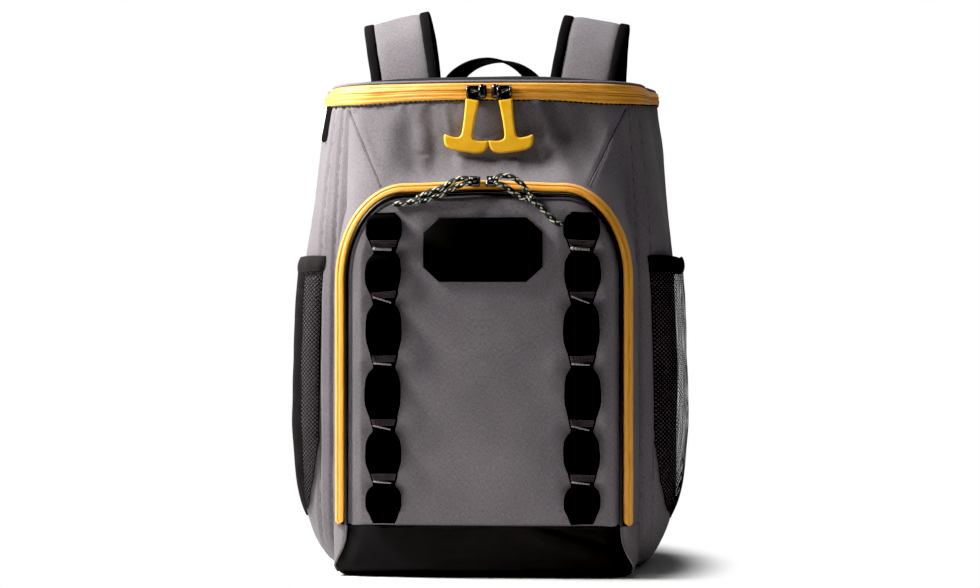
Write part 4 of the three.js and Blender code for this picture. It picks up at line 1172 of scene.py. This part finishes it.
def makeBadge():
    w, h, z = badge["width"] / 2, badge["height"] / 2, badge["z"]
    cx, cz = badge["cornerX"], badge["cornerZ"]
    outline = [(w, h - cz), (w - cx, h), (cx - w, h), (-w, h - cz)]
    outline += [(-x, -up) for x, up in outline]
    bm = bmesh.new()
    top, bottom = pocketFront(0, z + h), pocketFront(0, z - h)
    corners = [bm.verts.new((x, -mix(bottom, top, (up + h) / (2 * h)) - 0.6 * mm, z + up)) for x, up in outline]
    face = bmesh.ops.contextual_create(bm, geom=corners)["faces"][0]
    grown = bmesh.ops.extrude_face_region(bm, geom=[face])["geom"]
    bmesh.ops.translate(bm, vec=(0, -badge["thick"], 0), verts=[g for g in grown if isinstance(g, bmesh.types.BMVert)])
    front = next(g for g in grown if isinstance(g, bmesh.types.BMFace))
    soften(bm, list(front.edges), 0.9, 3)
    front = min(bm.faces, key=lambda f: f.calc_center_median().y - f.calc_area() * 100)
    for thickness, depth in ((1.6, 0), (0.5, -0.7), (0.8, 0)):
        bmesh.ops.inset_region(bm, faces=[front], thickness=thickness * mm, depth=depth * mm)
    addPiece("badgePlate", turnOut(bm), badgeRubber, "badge")


makeBadge()


# Side pockets of net with a bound mouth

net = {"front": 0.1455, "back": 0.30, "low": 0.047, "high": 0.272, "bulge": 0.0105, "pitch": 0.0027, "yarn": 0.0013}


def netPoint(q, z):
    along = sin(pi * min(max((q - net["front"]) / (net["back"] - net["front"]), 0), 1)) ** 0.55
    up = (z - net["low"]) / (net["high"] - net["low"])
    rise = along * sin(min(max(up, 0) * 2.2, 1) * pi / 2) ** 0.8 * mix(1, 0.8, up)
    return bodyPoint(q, z, 0.8 * mm + (net["bulge"] + 0.9 * mm * rough(q, 0, z, 0.03, 41)) * rise)


def makeNet(side, word):
    wide, tall = net["back"] - net["front"], net["high"] - net["low"]
    size = (wide + tall) / 2 + 0.01
    count = round(2 * size / net["pitch"])
    bm = bmesh.new()
    bmesh.ops.create_grid(
        bm, x_segments=count, y_segments=count, size=size, matrix=Matrix.Rotation(radians(45), 4, "Z")
    )
    # cut the diamond lattice to the pocket's outline, rounded at the lower front corner, then wrap it round the bag
    cuts = [(wide / 2, 0, 1, 0), (-wide / 2, 0, -1, 0), (0, tall / 2, 0, 1), (0, -tall / 2, 0, -1)]
    for past, up, slope in ((0.0, 0.07, 10), (0.004, 0.04, 22), (0.014, 0.015, 42), (0.03, 0.004, 65)):
        turned = radians(slope)
        cuts.append((past - wide / 2, up - tall / 2, -cos(turned), -sin(turned)))
    for x, y, dx, dy in cuts:
        geom = bm.verts[:] + bm.edges[:] + bm.faces[:]
        bmesh.ops.bisect_plane(bm, geom=geom, plane_co=(x, y, 0), plane_no=(dx, dy, 0), clear_outer=True)
    for vert in bm.verts:
        spot = netPoint(net["front"] + wide / 2 + vert.co.x, net["low"] + tall / 2 + vert.co.y)[0]
        vert.co = (side * spot.x, spot.y, spot.z)
    if side < 0:
        bmesh.ops.reverse_faces(bm, faces=bm.faces)
    bmesh.ops.wireframe(
        bm, faces=bm.faces, thickness=net["yarn"], offset=0, use_replace=True, use_boundary=True, use_even_offset=False
    )
    addPiece("net" + word, bm, netYarn, "mesh_pocket_" + word.lower())


def makeNetBinding(side, word):
    node = "mesh_binding_" + word.lower()
    low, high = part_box(node)

    def place(s, t):
        q = mix(net["front"] - 0.001, net["back"], s)
        z = mix(low.z - 0.002, high.z, t) + 0.0008 * sin(q * 90)
        point, normal = netPoint(q, net["high"])
        reach = (point - bodyPoint(q, net["high"])[0]).length
        gather = 0.35 * sin(q / 0.0021) * smooth(0, 0.2, t) * smooth(1, 0.8, t)
        spot = bodyPoint(q, z)[0] + normal * (reach + (1.4 * sin(pi * t) + gather) * mm)
        return Vector((side * spot.x, spot.y, spot.z)), (z, q)

    bm = clothGrid(150, 14, place, flip=side < 0)
    addPiece("netBinding" + word, bm, netGrosgrain, node, wall=1.8 * mm)


for make in (makeNet, makeNetBinding):
    for side, word in sides:
        make(side, word)
print("side pockets done")


# Label tab at the upper left corner, left without any lettering

def makeTab():
    low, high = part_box("label_tab")
    tab = {"q": -0.174, "halfWidth": 0.0062, "turn": 30, "out": 0.0012, "up": 0.005}
    aim = Vector((-cos(radians(tab["turn"])), sin(radians(tab["turn"])), 0))

    def place(s, t):
        across = 2 * s - 1
        z = mix(low.z, high.z, t) + tab["up"]
        round = sqrt(max(1 - (1 - min(t / 0.14, 1)) ** 2, 0.0))
        point, normal = bodyPoint(tab["q"], z, tab["out"] + (0.8 * (1 - t) + 0.3 * (1 - across**2)) * mm)
        return point - aim * across * tab["halfWidth"] * (0.25 + 0.75 * round), (across * tab["halfWidth"], z)

    addPiece("labelTab", clothGrid(16, 60, place), labelCloth, "label_tab", wall=1.0 * mm)


makeTab()


# Top sliders and T shaped pulls

hinges = {joint["child"]: joint["pos_m"] for joint in frame["record"]["behaviour"]["joints"]}
pull = {
    -1: {"x": hinges["pull_left"][0], "lean": 8.8},
    1: {"x": hinges["pull_right"][0], "lean": -7.6},
    "y": hinges["pull_left"][1],
    "z": hinges["pull_left"][2],
    "length": 0.0546,
    "halfWidth": 0.0200,
    "thick": 0.0056,
    "eye": 0.0031,
    "eyeWidth": 0.0084,
    "round": 0.0016,
}

# a pull from under its eye down: shares of its length and halfWidth, and how far the ends turn up in millimetres
pullRows = table(
    "down half up",
    (0.125, 0.26, 0), (0.13, 0.3, 0), (0.16, 0.305, 0), (0.26, 0.285, 0), (0.4, 0.262, 0), (0.52, 0.25, 0),
    (0.64, 0.25, 0), (0.71, 0.262, 0), (0.75, 0.3, 0), (0.772, 0.37, 0.1), (0.785, 0.5, 0.6), (0.79, 0.72, 1.4),
    (0.795, 0.92, 2.2), (0.81, 1.01, 2.5), (0.86, 1.02, 2.4), (0.91, 0.99, 2.2), (0.955, 0.92, 1.8),
    (0.985, 0.78, 1.2), (0.998, 0.5, 0.5), (1.0, 0.15, 0),
)


def hang(bm, side):
    # leans a pull's part and moves it to the bar that it hangs on
    at = Matrix.Translation((pull[side]["x"], pull["y"], pull["z"]))
    bm.transform(at @ Matrix.Rotation(radians(pull[side]["lean"]), 4, "Y"))
    return bm


def makePull(side, word):
    shape = [Vector((row["down"], row["half"], row["up"])) for row in pullRows]

    def flat(t, share):
        down, half, up = alongCurve(shape, t)
        share *= half
        return share * pull["halfWidth"], up * mm * share**2 - down * pull["length"]

    edge = [flat(i / 180, hand) for i in range(181) for hand in (-1, 1)]
    edge += [(x / 8 * edge[j][0], edge[j][1]) for j in (0, -1) for x in range(-8, 9)]

    def place(s, t):
        across = 4 * abs(s - 0.5) - 1
        across = copysign(1 - (1 - abs(across)) ** 1.25, across)
        x, z = flat(t, across)
        inside = min(hypot(x - a, z - b) for a, b in edge)
        full = sqrt(1 - (1 - min(inside / pull["round"], 1)) ** 2)
        if t in (0, 1) or abs(across) == 1:
            full = 0
        return Vector((x, copysign(full * pull["thick"] / 2, s - 0.5), z)), (x, z)

    body = "pull_" + word.lower()
    bm = hang(turnOut(clothGrid(56, 96, place, close=True)), side)
    addPiece("tPull" + word, bm, orangeRubber, "t_" + body, body=body)
    # the black eye that carries it, with a neck down into the rubber
    bm = bmesh.new()
    addRod(bm, Matrix(), pull["eye"], pull["eyeWidth"], 28)
    bmesh.ops.create_cube(bm, size=1, matrix=Matrix.LocRotScale((0, 0, -4.6 * mm), None, (8 * mm, 3.4 * mm, 6 * mm)))
    soften(bm, bm.edges[:], 0.7, 3)
    addPiece("tPull" + word + "Eye", hang(bm, side), blackPaint, body=body)


slider = {"height": 12.8, "cheek": 0.0059, "cheekWide": 0.0022, "block": 7.4}


def makeSlider(side, word):
    node = "top_slider_" + word.lower()
    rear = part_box(node)[1].y
    gap = pull["eyeWidth"] / 2 + 0.2 * mm

    def at(x, y, z):
        return Matrix.Translation((pull[side]["x"] + x, y, pull["z"] + z))

    # the base plate on the zip, and the domed body towards the other slider
    bm = bmesh.new()
    addBlock(bm, at(0, rear - 0.0024, 0), (gap * 2000 + 4.4, 4, slider["height"]), 1.8, 5)
    reach = gap + slider["block"] * mm / 2
    addBlock(bm, at(-side * reach, rear - 0.0046, 0.6 * mm), (slider["block"], 8.6, 13.2), 3.2, 5)
    # the two cheeks and the bar between them
    for hand in (-1, 1):
        cheek = at(hand * (gap + slider["cheekWide"] / 2), pull["y"] + 1.9 * mm, 0.4 * mm)
        verts = addRod(bm, cheek, slider["cheek"], slider["cheekWide"], 32)
        rims = {e for v in verts for e in v.link_edges if abs(e.verts[0].co.x - e.verts[1].co.x) < 1e-6}
        soften(bm, list(rims), 0.9, 4)
    addRod(bm, at(0, pull["y"], 0), 1.2 * mm, pull["eyeWidth"] + 3 * mm, 16)
    addPiece("topSlider" + word, bm, blackPaint, node)


for make in (makePull, makeSlider):
    for side, word in sides:
        make(side, word)
print("sliders and pulls done")


# Pocket sliders and braided cord pulls

# the cords' routes, in millimetres from the front of each slider
cordRoutes = {
    "Left": {
        "upper": [
            (-3, -4.1, 1.5), (-9, -4, 2.2), (-17, -4, 0.6), (-28, -3.6, -6), (-38, -3.4, -9), (-46.4, -3.2, -13.4),
        ],
        "lower": [
            (-3, -5, -2.4), (-9, -5, -3), (-17, -3.8, -5.6), (-27, -3.6, -11), (-37, -3.4, -14.5), (-45.2, -3.2, -17.3),
        ],
        "knot": (-49, -3.2, -16),
        "tail": [(-52.2, -3.2, -17.3), (-58, -3, -19), (-64, -2.6, -19.6), (-70.5, -2.4, -20.2)],
    },
    "Right": {
        "upper": [(3, -4.1, 2), (9, -4.2, 4.6), (17, -4.2, 3.4), (25, -3.8, -1.5), (32.9, -3.4, -11.3)],
        "lower": [(3, -5, -2.4), (10, -5, -4), (18, -3.4, -9.5), (25, -3.2, -14), (31.2, -3.2, -15.4)],
        "knot": (34.6, -3.3, -14.9),
        "tail": [(36.8, -3.2, -18), (43.5, -3, -24), (50, -2.6, -30.5), (55.5, -2.4, -36), (61, -2.2, -38.5)],
    },
}


def cordPlace(offset, side):
    return Vector((side * cord["sliderX"], cord["anchorY"], cord["anchorZ"])) + Vector(offset) * mm


def braid(s, way):
    # eight yarns that cross over and under each other
    turns = way / 0.0105
    return 1.04 + 0.07 * sin(2 * pi * (2 * s + turns)) * sin(2 * pi * (2 * s - turns))


def makeCords(side, word):
    # each pull has two strands: the upper ends in the knot, the lower runs through it and on as the tail
    route, node = cordRoutes[word], "cord_" + word.lower()
    strands = {
        "Upper": (route["upper"], node + "_upper", "knot"),
        "Lower": (route["lower"] + [route["knot"]] + route["tail"], f"{node}_lower {node}_tail", "bare"),
    }
    for part, (offsets, nodes, end) in strands.items():
        points = [cordPlace(offset, side) for offset in offsets]
        bm = tube(points, cord["diameter"] / 2, 20, 60 * len(points) // 4, shape=braid)
        piece = addPiece("cord" + word + part, bm, braidedCord, nodes)


def makeKnot(side, word):
    middle = cordPlace(cordRoutes[word]["knot"], side)
    bm = bmesh.new()
    bmesh.ops.create_uvsphere(bm, u_segments=24, v_segments=16, radius=4.1 * mm, matrix=Matrix.Translation(middle))
    for vert in bm.verts:
        away = vert.co - middle
        wrap = sin(away.x * 1500 + away.z * 1100) * 0.35 * mm
        vert.co = middle + Vector((away.x * 0.84, away.y * 0.8, away.z)) + away.normalized() * wrap
    layer = bm.loops.layers.uv.new("cloth")
    for loop in [loop for face in bm.faces for loop in face.loops]:
        loop[layer].uv = ((loop.vert.co.x + loop.vert.co.y) * 1.2, loop.vert.co.z * 1.2)
    addPiece("cordKnot" + word, bm, braidedCord, "cord_" + word.lower() + "_knot")


def makePocketSlider(side, word):
    node = "pocket_slider_" + word.lower()
    low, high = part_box(node)
    tilt = -atan2(pocket["face"] - pocket["edge"], pocket["zipWidth"])
    at = Matrix.Translation((low + high) / 2) @ Matrix.Rotation(tilt, 4, "X")
    bm = bmesh.new()
    addBlock(bm, at, (11.2, 4.2, 10.4), 1.5, 4)
    addRod(bm, at @ Matrix.Translation((0, -1.7 * mm, 0)), 2.9 * mm, 6 * mm, 18)
    addPiece("pocketSlider" + word, bm, blackPaint, node)


for make in (makeCords, makeKnot, makePocketSlider):
    for side, word in sides:
        make(side, word)
print("cords done")


# Haul loop and shoulder straps

rearTop = Vector((0, body["back"], body["top"]))

# the haul loop from its left foot to its crown, in millimetres, and how far the webbing has turned on edge
loopPath = table(
    "side behind up turn",
    (-37, 1.9, -12, 0), (-42, 2.6, 12, 12), (-42.5, 5, 28, 40), (-34.5, 7.5, 43, 62), (-19, 8, 53.5, 76),
    (0, 8, 57.3, 88),
)


def makeHaulLoop():
    rows = loopPath + [{**row, "side": -row["side"], "turn": 180 - row["turn"]} for row in reversed(loopPath[:-1])]
    points = [rearTop + Vector((row["side"] - 2.5, row["behind"], row["up"])) * mm for row in rows]
    turns = [Vector((row["turn"], 0, 0)) for row in rows]
    width, thick = 0.0125, 0.0013

    def place(s, t):
        centre = alongCurve(points, t)
        ahead = (alongCurve(points, min(t + 0.01, 1)) - alongCurve(points, max(t - 0.01, 0))).normalized()
        back = Vector((0, 1, 0))
        flat = back.cross(ahead).normalized()
        turn = radians(alongCurve(turns, t).x)
        across = flat * cos(turn) + back * sin(turn)
        out = across.cross(ahead)
        angle = 2 * pi * s
        a = max(-1, min(1, 1.25 * cos(angle))) * width
        b = max(-1, min(1, 1.25 * sin(angle))) * thick
        return centre + across * a + out * b, (a, t * 0.16)

    bm = turnOut(clothGrid(28, 120, place, close=True), fill=True)
    addPiece("haulLoop", bm, blackBinding, "haul_loop")


# the left strap from the back's top over and down to its adjuster, in millimetres and degrees
strapPath = table(
    "side behind up width tilt",
    (-86, 7, -12, 1, 5), (-87, 9, 20, 1, 10), (-92, 14, 52, 1, 13), (-97, 24, 80, 1, 13), (-101, 42, 98, 1, 13),
    (-101, 64, 96, 1, 12), (-98, 82, 76, 1, 9), (-95, 92, 40, 1, 5), (-93, 95, -10, 1, 2), (-92, 93, -70, 0.98, 0),
    (-94, 86, -130, 0.92, 0), (-99, 77, -185, 0.84, 0), (-104, 68, -228, 0.74, 0),
)
strap = {"halfWidth": 0.034, "thick": 0.011, "binding": 0.010, "long": 0.42}


def strapFrame(t):
    points = [rearTop + Vector((row["side"], row["behind"], row["up"])) * mm for row in strapPath]
    shapes = [Vector((row["width"], row["tilt"], 0)) for row in strapPath]
    centre = alongCurve(points, t)
    ahead = (alongCurve(points, min(t + 0.01, 1)) - alongCurve(points, max(t - 0.01, 0))).normalized()
    width, tilt, unused = alongCurve(shapes, t)
    across = Vector((cos(radians(tilt)), 0, sin(radians(tilt))))
    across = (across - ahead * across.dot(ahead)).normalized()
    return centre, ahead, across, across.cross(ahead), width * strap["halfWidth"]


def strapSewn(co, side):
    # the pad's edges lie under the bindings, and its ends are sewn in
    spot = Vector((co.x * -side, co.y, co.z))
    best = min(range(len(strapStations)), key=lambda i: (spot - strapStations[i][0]).length_squared)
    centre, ahead, across, out, half = strapStations[best]
    return abs((spot - centre).dot(across)) > half - strap["binding"] or best in (0, len(strapStations) - 1)


def ringOf(s, half, thick, soft):
    # a flat section with full round edges, s once round it
    angle = 2 * pi * s
    c, d = cos(angle), sin(angle)
    return half * copysign(abs(c) ** soft, c), thick * copysign(abs(d) ** soft, d)


def makeStrapPiece(name, node, side, inner, outer, padding=False):
    def place(s, t):
        centre, ahead, across, out, half = strapFrame(t)
        middle, reach = half * (inner + outer) / 2, half * (outer - inner) / 2
        a, b = ringOf(s, reach, strap["thick"] * (0.5 if padding else 0.52), 0.4)
        way, share = t * strap["long"], abs(a / reach)
        if padding:
            b *= 1 - 0.1 * share**6
            b += (0.7 * rough(a, side, way, 0.03, 51) + 0.35 * rough(a, side, way, 0.012, 52)) * mm * (1 - share**3)
        else:
            b += 0.25 * mm * rough(a, side, way, 0.012, 53)
            a += 0.35 * mm * rough(0, side, way, 0.02, 54)
        spot = centre + across * (middle + a) + out * b
        if side > 0:  # the right strap lies a little closer to the middle and less tilted
            over = 1 - smooth(0.35, 0.6, t)
            spot += Vector((3.0 * mm, 0, -0.07 * (middle + a + strap["halfWidth"]))) * over
        return Vector((-side * spot.x, spot.y, spot.z)), (middle + a, way)

    bm = turnOut(clothGrid(40 if padding else 20, 170, place, close=True), fill=True)
    material, slot = (strapCanvas, "grey_canvas") if padding else (blackBinding, "black_webbing")
    return addPiece(name, bm, material, node)


panelBack = {"halfWidth": 0.118, "low": 0.032, "high": 0.411, "near": 0.0953, "thick": 0.012, "corner": 0.034}


def makeBackPanel():
    low, high, r = panelBack["low"], panelBack["high"], panelBack["corner"]

    def place(s, t):
        z = mix(low, high, t)
        past = max(low + r - z, z - high + r, 0)
        half = panelBack["halfWidth"] - r + sqrt(max(r * r - past * past, 1e-9))
        across = 4 * abs(s - 0.5) - 1
        x = across * half
        inside = min(half - abs(x), z - low, high - z)
        full = sqrt(max(0, 1 - (1 - min(inside / 0.01, 1)) ** 2))
        depth = 0.5 - 0.5 * full if s < 0.5 else 0.5 + 0.4 * full
        return Vector((x, panelBack["near"] + panelBack["thick"] * depth, z)), (x, z)

    bm = turnOut(clothGrid(80, 90, place, close=True))
    panel = addPiece("backPad", bm, backMesh, "back_panel", levels=1)
    rear = panelBack["near"] + panelBack["thick"] * 0.55

    def sewn(co):
        channel = min(abs(abs(co.x) - 0.034), abs(co.z - 0.16), abs(co.z - 0.29)) < 0.0025
        return co.y < rear or channel

    puff(panel, sewn, 5, 7 * mm)
    points = []
    for i in range(97):
        angle = 2 * pi * i / 96
        c, d = cos(angle), sin(angle)
        wide, tall = panelBack["halfWidth"] - r, (high - low) / 2 - r
        x = copysign(min(abs(c) * 1.6, 1) ** 0.9, c) * wide + c * r
        z = copysign(min(abs(d) * 1.6, 1) ** 0.9, d) * tall + d * r
        points.append(Vector((x, panelBack["near"] + 0.005, (low + high) / 2 + z)))
    addPiece("backPadPiping", tube(points, 2.6 * mm, 10, 480), blackBinding)


def makeLowerStrap(side, word):
    centre, ahead, across, out, half = strapFrame(1)
    finish = Vector((-(panelBack["halfWidth"] + 0.025 * 0.75), body["back"] + 1.5 * mm, panelBack["low"] + 0.020))
    drop = (finish - centre).normalized()
    across = (Vector((1, 0, 0)) - drop * drop.x).normalized()
    out = across.cross(drop)
    middle = centre + drop * 0.0145
    turn = Matrix((across, out, -drop)).transposed().to_4x4()
    # the lock: two rails and three bars, moulded in one
    bm = bmesh.new()
    for x, z, wide, tall in ((-15, 0, 4, 24), (15, 0, 4, 24), (0, 10, 34, 4), (0, 1, 30, 4.4), (0, -10, 34, 4)):
        at = Matrix.Translation(middle) @ turn @ Matrix.Translation(Vector((x, 0, z)) * mm)
        addBlock(bm, at, (wide, 5, tall), 1.3, 3)
    bmesh.ops.scale(bm, vec=(-side, 1, 1), verts=bm.verts)
    addPiece("strapLock" + word, turnOut(bm), lockPlastic, "ladder_lock_" + word.lower())
    start = middle + drop * 0.004

    def place(s, t):
        a, b = ringOf(s, 0.0125, 0.0009, 0.35)
        spot = start.lerp(finish, t) + across * a + out * (b + 0.12 * mm * rough(a, side, t * 0.14, 0.02, 61))
        spot.y += sin(pi * t) * 4 * mm
        return Vector((-side * spot.x, spot.y, spot.z)), (a, t * 0.14)

    bm = turnOut(clothGrid(24, 90, place, close=True), fill=True)
    addPiece("strapWebbing" + word, bm, blackWebbing, "strap_webbing_" + word.lower())


strapStations = [strapFrame(i / 60) for i in range(61)]
strapCanvas = canvas("strapCanvas", "#534e52", "#6e696d", "#878286", 0.42 * mm, contrast=0.8, sheen=0.08)
edge = 1 - strap["binding"] / strap["halfWidth"]
for side, word in sides:
    low = word.lower()
    pad = makeStrapPiece("strapPad" + word, "shoulder_strap_" + low, side, -edge - 0.03, edge + 0.03, padding=True)
    puff(pad, lambda co, side=side: strapSewn(co, side), 4, 3 * mm)
    makeLowerStrap(side, word)
    makeStrapPiece("strapBindingOuter" + word, "strap_binding_outer_" + low, side, -1, 0.02 - edge)
    makeStrapPiece("strapBindingInner" + word, "strap_binding_inner_" + low, side, edge - 0.02, 1)
makeHaulLoop()
makeBackPanel()
print("straps and back done")
